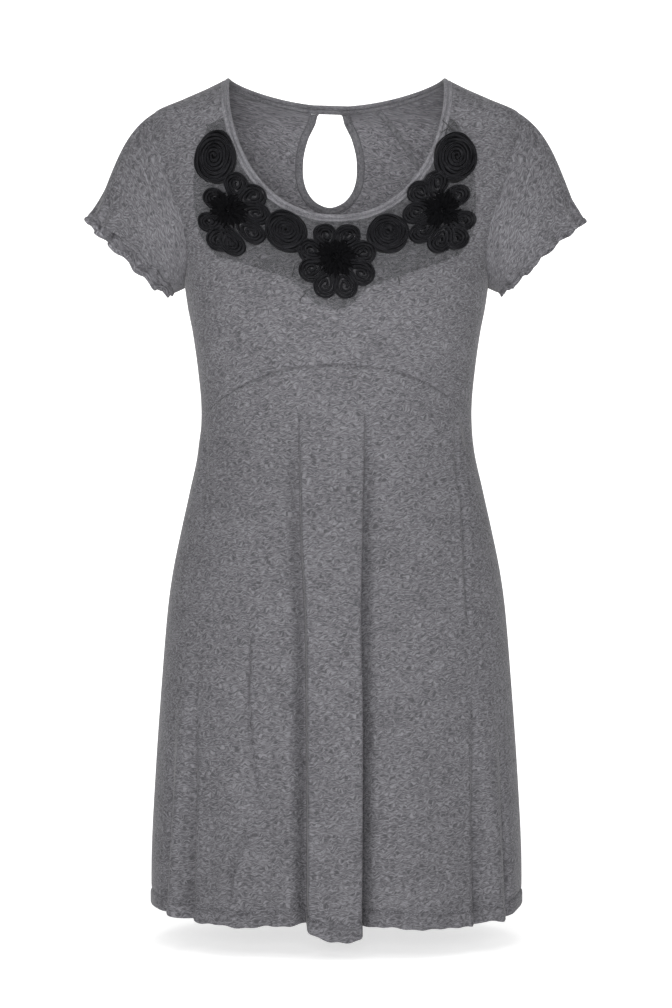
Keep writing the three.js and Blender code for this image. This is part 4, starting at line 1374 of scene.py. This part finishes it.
@dataclass
class Sleeve:
    """A short flared sleeve with a fluted edge. Its mouth is an oval that faces down and out."""

    pattern: Pattern
    finishes: Finishes
    name: str
    side: int
    set_back: float
    phase: float
    mouth: tuple[float, float] = (211.0, -183.0)
    rise: float = 36.0
    reach: float = 45.0
    depth: float = 51.0
    arm: tuple[float, float, float] = (0.62, 0.0, -0.785)
    start: tuple[float, float, float] = (0.83, 0.0, -0.5)
    gap: float = 0.5
    fullness: float = 1.15
    fall: float = 0.85
    frill: float = 2.9
    droop: float = 6.0
    around: int = 240
    rows: int = 42
    flat: tuple[float, float] = (0.34, 0.13)
    area: float = 0.028

    def spots(self, turn: Array, along: Array) -> Array:
        """Points of the right sleeve.

        Args:
            turn: share of the way round, from the shoulder over the front.
            along: share of the way from the armhole to the mouth.

        Returns:
            Points.
        """
        dress, sweep = self.pattern.dress, 2 * math.pi * turn
        front = turn <= 0.5
        down = np.where(front, 2 * turn, 2 - 2 * turn)
        start = dress.smooth_point(*np.where(front, self.pattern.armhole(True, down),
                                             self.pattern.armhole(False, down)))
        leave, arrive = np.array(self.start), np.array(self.arm)
        start = start + leave * self.gap
        forwards = np.sin(sweep)
        end = np.stack([self.mouth[0] + self.reach * np.cos(sweep), -self.depth * forwards,
                        self.mouth[1] + self.rise * np.cos(sweep)], -1)
        droop = self.droop * smoothstep((0.35 - np.cos(sweep)) / 1.1)
        end = end + arrive * (droop - self.set_back * forwards)[..., None]
        length = np.linalg.norm(end - start, axis=-1)[..., None]
        s = along[..., None]
        t = 1 - s
        point = (start * t * t * (1 + 2 * s) + end * s * s * (3 - 2 * s)
                 + leave * length * self.fullness * s * t * t
                 - arrive * length * self.fall * s * s * t)
        centre = np.array([self.mouth[0], 0.0, self.mouth[1]])
        outwards = unit(end - centre)
        size = np.minimum(1, length[..., 0] / 40)
        wave = (0.75 * np.cos(12 * sweep + self.phase) + 0.4 * np.cos(19 * sweep + 2 * self.phase)
                + 0.25 * np.cos(7 * sweep + 1.7))
        flute = self.frill * size * smoothstep((along - 0.62) / 0.38) * wave
        lettuce = 1.3 * size * smoothstep((along - 0.86) / 0.14) * np.cos(31 * sweep + self.phase)
        edge = 1.5 * size * smoothstep((along - 0.6) / 0.4) * np.cos(12 * sweep + self.phase + 1)
        return point + outwards * (flute + lettuce)[..., None] + arrive * edge[..., None]

    def build(self) -> bpy.types.Object:
        """Make the sleeve."""
        turn = np.linspace(0, 1, self.around, endpoint=False)
        along = np.r_[0, np.linspace(0.004, 0.87, self.rows - 13), np.linspace(0.885, 1, 12)]
        turns, places = np.meshgrid(turn, along)
        points = self.spots(turns, places)
        points[..., 0] *= self.side
        across = np.roll(points, -1, 1) - np.roll(points, 1, 1)
        down = np.gradient(points, axis=0)
        normals = unit(np.cross(across, down))
        if np.mean(np.sum(normals * (points - points.mean((0, 1))), -1)) < 0:
            normals = -normals
        reach = np.linalg.norm(np.diff(points, axis=0), axis=-1)
        left = np.r_[np.cumsum(reach[::-1], axis=0)[::-1], np.zeros((1, self.around))]
        rolled = -0.9 * np.exp(-(((left - 4.2) / 0.9) ** 2)) + 0.5 * smoothstep((4 - left) / 1.2)
        points = points + normals * (rolled * np.minimum(1, left[:1] / 30))[..., None]
        wide = distances(points[len(along) // 2], closed=True)
        tall = np.r_[0, np.cumsum(np.linalg.norm(np.diff(points, axis=0), axis=-1).mean(1))]
        cloth = np.stack(np.meshgrid(wide, tall), -1)
        sheet = Sheet.grid(points, normals, cloth, flip=self.side > 0, closed=True)
        made = sheet.panel(self.name, self.finishes)
        return made


# ---- Yoke and its ribbon trim ----


@dataclass
class Local:
    """A patch of the dress round a station, measured in millimetres across and up."""

    dress: Dress
    x: float
    z: float

    @staticmethod
    def over(dress: Dress, node: str, shift: tuple[float, float]) -> "Local":
        """The patch over the middle of a CAD node, shifted across and up."""
        low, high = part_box(node)
        x, z = ((low[axis] + high[axis]) / 2 / MM for axis in (0, 2))
        return Local(dress, x + shift[0], z + shift[1])

    def station(self, across: Array, up: Array) -> tuple[Array, Array]:
        """Station that lies a distance across and up the body from the middle of the patch."""
        body = self.dress.body
        turn, z = float(body.turn_of(self.x, self.z)), self.z
        spot_turn, spot_z = turn + 0 * across, z + 0 * across
        for _ in range(3):
            half_turn, half_z = (turn + spot_turn) / 2, (z + spot_z) / 2
            here = body.bare(half_turn, half_z)
            wide = np.linalg.norm(body.bare(half_turn + 0.01, half_z) - here, axis=-1)
            tall = np.linalg.norm(body.bare(half_turn, half_z + 1) - here, axis=-1)
            spot_turn, spot_z = turn + 0.01 * across / wide, z + up / tall
        return spot_turn, spot_z

    def place(self, across: Array = 0.0, up: Array = 0.0, lift: Array = 0.0) -> Array:
        """Point of the patch at a height over the cloth."""
        turn, z = self.station(across, up)
        return self.dress.point(turn, z, lift)

    def upward(self, across: Array = 0.0, up: Array = 0.0) -> Array:
        """Direction off the cloth."""
        turn, z = self.station(across, up)
        return self.dress.normal(self.dress.body.bare, turn, z)


@dataclass(frozen=True)
class Coil:
    """Ribbon wound on edge: how wide and high each turn stands, and how far off the cloth."""

    width: float = 3.0
    height: float = 4.6
    floor: float = 1.4

    def outline(self, along: Array, seed: float) -> Array:
        """Outline of the ribbon at each place along it: a soft band with two uneven folded crests."""
        wave = np.sin(along / 6.1 + seed) + 0.6 * np.sin(along / 2.7 + 2.3 * seed)
        tip = np.sin(along / 9.3 + 1.9 * seed)
        w, h = self.width / 2, self.height
        left, right = 1 + 0.10 * wave, 1 - 0.10 * wave + 0.06 * tip
        shape = (
            (-w * 0.95, 0.0), (-w * 1.02, h * 0.45), (-w * 0.86, h * 0.84 * left),
            (-w * 0.55, h * 0.99 * left), (-w * 0.22, h * 0.86),
            (w * (0.02 + 0.08 * wave), h * (0.76 + 0.05 * tip)), (w * 0.30, h * 0.86),
            (w * 0.60, h * 0.97 * right), (w * 0.88, h * 0.80 * right), (w * 1.02, h * 0.42),
            (w * 0.95, 0.0), (0.0, -0.2),
        )
        return np.stack([np.stack(np.broadcast_arrays(*pair, wave)[:2], -1) for pair in shape], 1)


@dataclass
class Rosette:
    """A flat rose of ribbon wound in a spiral."""

    dress: Dress
    finishes: Finishes
    node: str
    radius: float
    seed: float
    tall: float = 1.0
    shift: tuple[float, float] = (0.0, 0.0)
    turns: float = 6.6
    hang: float = 22.0
    coil: Coil = Coil(2.7, 5.2, 1.4)

    def build(self) -> bpy.types.Object:
        """Make the rosette where its solid is."""
        patch = Local.over(self.dress, self.node, self.shift)
        angle = np.linspace(0, 2 * math.pi * self.turns, int(64 * self.turns))
        share = angle / angle[-1]
        pitch = (self.radius - self.coil.width / 2 - 1.2) / self.turns
        wobble = 1 + 0.055 * np.sin(2 * angle + self.seed) + 0.035 * np.sin(3.3 * angle - self.seed)
        reach = (1.2 + pitch * self.turns * share**0.93) * lerp(1.0, wobble, share**0.5)
        across = reach * np.cos(angle + self.seed)
        up = self.tall * reach * np.sin(angle + self.seed) - self.hang * (self.tall - 1)
        crown = self.coil.floor + 2.6 * (1 - share) ** 0.8 + 0.5 * np.sin(1.7 * angle)
        crown = crown - 1.4 * smoothstep((share - 0.86) / 0.14)
        path = patch.place(across, up, crown)
        outline = self.coil.outline(distances(path), self.seed)
        ends = np.minimum(smoothstep(share / 0.01 + 0.5), smoothstep((1 - share) / 0.02 + 0.3))
        band = swept(path, patch.upward(across, up), outline, ends)
        return Solid.several([band, self.bed(patch)]).piece(
            self.node + "_ribbon", self.finishes.ribbon, "ribbon", (self.node,))

    def bed(self, patch: Local) -> Solid:
        """The disc of cloth that the coil is sewn to."""
        ring = np.linspace(0, 2 * math.pi, 48, endpoint=False)
        reach = np.linspace(0, self.radius - 2.2, 10)
        reach[0] = 0.3
        r, a = np.meshgrid(reach, ring, indexing="ij")
        across, up = r * np.cos(a), self.tall * r * np.sin(a) - self.hang * (self.tall - 1)
        cloth = np.stack([np.c_[a, a[:, :1]] * 8, np.c_[r, r[:, :1]]], -1)
        return Sheet.grid(patch.place(across, up, 2.2), patch.upward(across, up), cloth,
                          closed=True).walled(0.9)


@dataclass
class Flower:
    """A flower of eight looped petals of ribbon round a shaggy tuft."""

    dress: Dress
    finishes: Finishes
    name: str
    petals: tuple[tuple[float, float], ...]
    seed: int
    shift: tuple[float, float]
    half: float = 12.4
    turns: float = 3.55
    strips: int = 300
    tuft_radius: float = 19.0
    coil: Coil = Coil(2.5, 4.6, 1.0)

    def petal(self, patch: Local, index: int, offset: tuple[float, float]) -> Solid:
        """One petal: ribbon wound in nested loops, pointed towards the middle of the flower.

        Args:
            patch: the flower's patch of the dress.
            index: number of the petal, which varies its shape.
            offset: distance across and up from the middle of the flower.

        Returns:
            The petal.
        """
        dx, dz = offset
        middle = Local(self.dress, patch.x + dx, patch.z + dz)
        step = middle.place() - patch.place()
        east = unit(middle.place(across=1.0) - middle.place(across=-1.0))
        north = unit(middle.place(up=1.0) - middle.place(up=-1.0))
        heading = math.atan2(float(step @ north), float(step @ east))
        far = float(np.linalg.norm(step))
        angle = np.linspace(0, 2 * math.pi * self.turns, int(40 * self.turns))
        share = angle / angle[-1]
        size = lerp(0.09, 1.0, share**0.9)
        wobble = 1 + 0.05 * np.sin(2.3 * angle + index * 1.7 + self.seed)
        front, back = self.half * 1.04, min(max(far - 8.0, 13.0), 22.0)
        ahead = np.where(np.cos(angle) > 0, front, back) * np.cos(angle) * size
        narrow = 1 - 0.3 * np.clip(-np.cos(angle), 0, 1) ** 1.5
        aside = self.half * np.sin(angle) * size * narrow * wobble
        facing = -float(middle.upward()[1])
        stretch = 1 / max(facing, 0.6) ** 0.8
        across = stretch * (ahead * math.cos(heading) - aside * math.sin(heading))
        up = ahead * math.sin(heading) + aside * math.cos(heading)
        lift = self.coil.floor + 1.6 * (1 - share) + 0.35 * np.sin(3.1 * angle + index)
        lift = lift + 1.8 * np.clip(-ahead / back, 0, 1) * share
        path = middle.place(across, up, lift)
        outline = self.coil.outline(distances(path), index + 0.7 * self.seed)
        ends = smoothstep(np.minimum(share / 0.05, (1 - share) / 0.04) + 0.35)
        return swept(path, middle.upward(across, up), outline, ends)

    def tuft(self, patch: Local) -> Solid:
        """The shaggy middle: many narrow curled strips that spread from the centre.

        Args:
            patch: the flower's patch of the dress.

        Returns:
            The strips.
        """
        random = np.random.default_rng(self.seed)
        scale = np.array([0.6, 0.9, 1.0, 1.0, 0.95, 0.8, 0.4])
        t = np.linspace(0, 1, len(scale))
        parts = []
        for index in range(self.strips):
            share = (index + 0.5) / self.strips
            heading = index * GOLDEN_TURN + random.uniform(-0.3, 0.3)
            lean = share**0.75
            reach = lerp(3.0, self.tuft_radius, lean) * random.uniform(0.75, 1.15)
            root = 3.0 * random.uniform(0, 1)
            out = root + reach * (t**1.2) * (0.45 + 0.55 * lean)
            tall = 3.0 + (12.0 - 5.0 * lean) * np.sin(t * (1.5 + 0.9 * lean)) + 1.2 * t
            tall = tall + random.uniform(-2.0, 2.4)
            curl = random.uniform(-0.35, 0.35) * t**2
            across, up = out * np.cos(heading + curl), out * np.sin(heading + curl)
            path = patch.place(across, up, tall)
            wide = random.uniform(0.9, 1.9)
            outline = np.array([(-wide, 0), (-wide * 0.3, 0.3), (wide * 0.3, 0.3), (wide, 0),
                                (wide * 0.3, -0.3), (-wide * 0.3, -0.3)])
            parts.append(swept(path, patch.upward(across, up), outline, scale))
        return Solid.several(parts)

    def build(self) -> list[bpy.types.Object]:
        """Make the petals and the tuft where their solids are."""
        patch = Local.over(self.dress, self.name + "_centre", self.shift)
        made = []
        for index, offset in enumerate(self.petals):
            node = f"{self.name}_petal_{index + 1}"
            made.append(self.petal(patch, index, offset).piece(
                node + "_ribbon", self.finishes.ribbon, "ribbon", (node,)))
        node = self.name + "_centre"
        made.append(self.tuft(patch).piece(node + "_tuft", self.finishes.tuft, "thread_tuft",
                                           (node,)))
        return made


@dataclass
class TulleYoke:
    """The sheer net that lies over the bodice under the trim, cut by hand along its lower edge."""

    pattern: Pattern
    finishes: Finishes
    start: float = 0.31
    lift: float = 1.0
    thickness: float = 0.35
    columns: int = 26
    rows: int = 90
    flat: tuple[float, float] = (0.30, 0.21)
    area: float = 0.029
    right: tuple[tuple[float, float], ...] = (
        (123, -57), (130, -72), (134.4, -92.5), (138.6, -110), (139.8, -126.7), (139, -148),
        (136.5, -166), (127, -184.8), (111.4, -194), (81.9, -206), (53.9, -216.3), (36, -223),
        (25, -228), (20, -236), (13, -243), (3, -246.3), (-2, -246.6),
    )
    left: tuple[tuple[float, float], ...] = (
        (-129, -57), (-133, -68), (-137.6, -82), (-142, -100), (-143.6, -116.3), (-142.6, -137.4),
        (-140, -156), (-134, -172), (-118.6, -190.5), (-99.1, -196.7), (-73.9, -206.3),
        (-48.9, -215.4), (-38, -223), (-31, -231), (-24, -238.5), (-13, -244.5), (-2, -246.6),
    )

    def half(self, side: int) -> Sheet:
        """One half of the yoke.

        Args:
            side: 1 for the half at +X, -1 for the other.

        Returns:
            The half's outer surface.
        """
        dress, body = self.pattern.dress, self.pattern.dress.body
        down = np.linspace(self.start, 1, self.rows)
        inner_turn, inner_z = self.pattern.front_neck(down, self.pattern.binding - 1.0)
        edge = evenly(list(self.right if side > 0 else self.left), self.rows)
        x, z = edge[:, 0], edge[:, 1]
        share = np.linspace(0, 1, self.columns)
        fray = 0.35 * np.sin(np.arange(self.rows) * 1.9) + 0.25 * np.sin(np.arange(self.rows) * 4.7)
        outer_turn = body.turn_of(x, z + fray)
        turns = lerp(inner_turn[:, None] * side, outer_turn[:, None], share)
        levels = lerp(inner_z[:, None], (z + fray)[:, None], share)
        lift = self.lift + 0.25 * np.sin(turns * 31) * np.sin(levels / 9)
        points = dress.point(turns, levels, lift)
        normals = dress.normal(dress.smooth_point, turns, levels)
        return Sheet.grid(points, normals, dress.cloth(turns, levels), flip=side < 0)

    def build(self) -> bpy.types.Object:
        """Make the net and its loose thread ends."""
        sheet = self.half(1).joined(self.half(-1))
        made = sheet.walled(self.thickness).piece("tulle_yoke_net", self.finishes.net, "tulle",
                                                  ("tulle_yoke",))
        ends = self.threads().piece("yoke_thread_ends", self.finishes.black_thread,
                                    "thread_tuft", ())
        return made

    def threads(self) -> Solid:
        """Loose ends of thread at the yoke's corners and lower edge."""
        dress, body = self.pattern.dress, self.pattern.dress.body
        lines = (
            ((-40.6, -201.4), (-42.3, -208), (-44, -215)),
            ((106, -53), (113, -60), (119, -66)), ((119, -53), (113, -60), (105, -66)),
            ((-31, -232), (-35, -236), (-36, -241)), ((60, -214), (62, -219), (61, -223)),
            ((-131, -56), (-128, -62), (-122, -66)),
        )
        lift = 1.7 + 0.5 * np.sin(np.linspace(0, math.pi, 12))
        parts = []
        for line in lines:
            x, z = evenly(list(line), len(lift)).T
            turn = body.turn_of(x, z)
            up = dress.normal(body.bare, turn, z)
            parts.append(swept(dress.point(turn, z, lift), up, circle(0.45)))
        return Solid.several(parts)


# ---- Studio ----


@dataclass
class Studio:
    """Pale floor, soft lights and the camera."""

    floor_level: float = -0.885
    camera_at: tuple[float, float, float] = (-0.0005, -3.0, -0.43878)
    lens: float = 104.0
    sky: float = 0.26

    def build(self) -> None:
        """Set up the studio."""
        scene = bpy.context.scene
        scene.view_settings.view_transform = "Standard"
        camera = bpy.data.objects.new("camera", bpy.data.cameras.new("camera"))
        camera.data.lens = self.lens
        camera.data.clip_end = 40
        camera.location = self.camera_at
        camera.rotation_euler = (math.pi / 2, 0, 0)
        scene.collection.objects.link(camera)
        scene.camera = camera
        self.light("front_softbox", (-0.12, -2.9, -0.3), (90, 0, -2), 0.9, 58)
        self.light("key_softbox", (-1.0, -2.2, 1.4), (50, 0, -24), 1.0, 11)
        self.light("fill_softbox", (1.4, -2.2, 0.9), (62, 0, 32), 1.0, 7)
        self.light("top_softbox", (0, -0.1, 2.2), (0, 0, 0), 2.2, 28)
        self.backdrop()
        self.floor()

    def backdrop(self) -> None:
        """Make a sky that is white to the camera and dimmer as a light."""
        world = bpy.data.worlds.new("white_sky")
        bpy.context.scene.world = world
        world.use_nodes = True
        nodes, links = world.node_tree.nodes, world.node_tree.links
        sky = nodes["Background"]
        sky.inputs["Color"].default_value = (1.0, 1.0, 1.0, 1.0)
        backdrop = nodes.new("ShaderNodeBackground")
        backdrop.inputs["Strength"].default_value = 1.0
        sky.inputs["Strength"].default_value = self.sky
        ray, mixed = nodes.new("ShaderNodeLightPath"), nodes.new("ShaderNodeMixShader")
        links.new(ray.outputs["Is Camera Ray"], mixed.inputs[0])
        links.new(sky.outputs[0], mixed.inputs[1])
        links.new(backdrop.outputs[0], mixed.inputs[2])
        links.new(mixed.outputs[0], nodes["World Output"].inputs["Surface"])

    @staticmethod
    def light(name: str, place: tuple[float, ...], angles: tuple[float, ...], size: float,
              power: float) -> None:
        """Add one square soft light.

        Args:
            name: name of the light.
            place: where it hangs, in metres.
            angles: its turns about X, Y and Z in degrees.
            size: its width in metres.
            power: its power in watts.
        """
        lamp = bpy.data.lights.new(name, "AREA")
        lamp.size, lamp.energy = size, power
        holder = bpy.data.objects.new(name, lamp)
        holder.location = place
        holder.rotation_euler = tuple(math.radians(angle) for angle in angles)
        bpy.context.scene.collection.objects.link(holder)

    def floor(self) -> None:
        """Lay the floor, which rises to a backdrop far behind."""
        x = np.linspace(-9, 9, 25)
        depth = np.r_[np.linspace(-6, 5, 40), 5 + 1.5 * np.sin(np.linspace(0.1, SIDE, 12)),
                      np.full(6, 6.5)]
        height = np.r_[np.zeros(40), 1.5 * (1 - np.cos(np.linspace(0.1, SIDE, 12))),
                       np.linspace(1.8, 6, 6)]
        level = height[:, None] + self.floor_level
        points = np.stack(np.broadcast_arrays(x, depth[:, None], level), -1)
        rows, wide = points.shape[:2]
        faces = [(r * wide + c, r * wide + c + 1, (r + 1) * wide + c + 1, (r + 1) * wide + c)
                 for r in range(rows - 1) for c in range(wide - 1)]
        mesh = bpy.data.meshes.new("studio_floor")
        mesh.from_pydata(points.reshape(-1, 3).tolist(), [], faces)
        mesh.polygons.foreach_set("use_smooth", np.ones(len(faces), bool))
        mesh.materials.append(PaleFloor().material())
        floor = bpy.data.objects.new("studio_floor", mesh)
        bpy.context.scene.collection.objects.link(floor)


class Roses(Enum):
    """The four rosettes: node, radius, seed, height over width, and shift of the middle."""

    SHOULDER_LEFT = ("rosette_shoulder_left", 23.4, 0.4, 1.27, (1.5, 1.0))
    INNER_LEFT = ("rosette_inner_left", 23.0, 2.1, 1.0, (2.5, -2.0))
    INNER_RIGHT = ("rosette_inner_right", 22.0, 3.6, 1.06, (-1.5, -2.5))
    SHOULDER_RIGHT = ("rosette_shoulder_right", 23.4, 5.2, 1.22, (0.0, 0.0))


class Flowers(Enum):
    """The three flowers: name, seed, shift of the middle, and offsets of the petals from it."""

    LEFT = ("flower_left", 3, (3.5, 0.0), (
        (26.5, -3), (23, 15), (5.5, 28), (-15.5, 14), (-20.5, -9), (-12, -28), (2, -33.5),
        (21.5, -23)))
    CENTRE = ("flower_centre", 5, (0.0, -1.0), (
        (27.3, 7), (12.3, 24), (-9.7, 25), (-24.7, 9.6), (-24.1, -9.4), (-10.7, -25), (9.3, -26),
        (25.7, -13.6)))
    RIGHT = ("flower_right", 8, (-4.5, -2.0), (
        (23, -9), (18, 16), (-2, 29.5), (-19, 19), (-24, -2), (-18, -22), (0, -31),
        (16.5, -27)))


def main() -> None:
    """Build every piece of the dress and the studio."""
    logging.basicConfig(level=logging.INFO, format="%(name)s %(message)s")
    Studio().build()
    dress, finishes = Dress(), Finishes()
    pattern = Pattern(dress)
    FrontBodice(pattern, finishes).build()
    FrontSkirt(pattern, finishes).build()
    Back(pattern, finishes).build()
    NeckBinding(pattern, finishes).build()
    KeyholeBinding(pattern, finishes).build()
    Sleeve(pattern, finishes, "sleeve_left", -1, 6.0, 0.6).build()
    Sleeve(pattern, finishes, "sleeve_right", 1, 0.0, 2.0).build()
    TulleYoke(pattern, finishes).build()
    for rose in Roses:
        Rosette(dress, finishes, *rose.value).build()
    for flower in Flowers:
        name, seed, shift, petals = flower.value
        Flower(dress, finishes, name, petals, seed, shift).build()


if __name__ == "__main__":
    main()
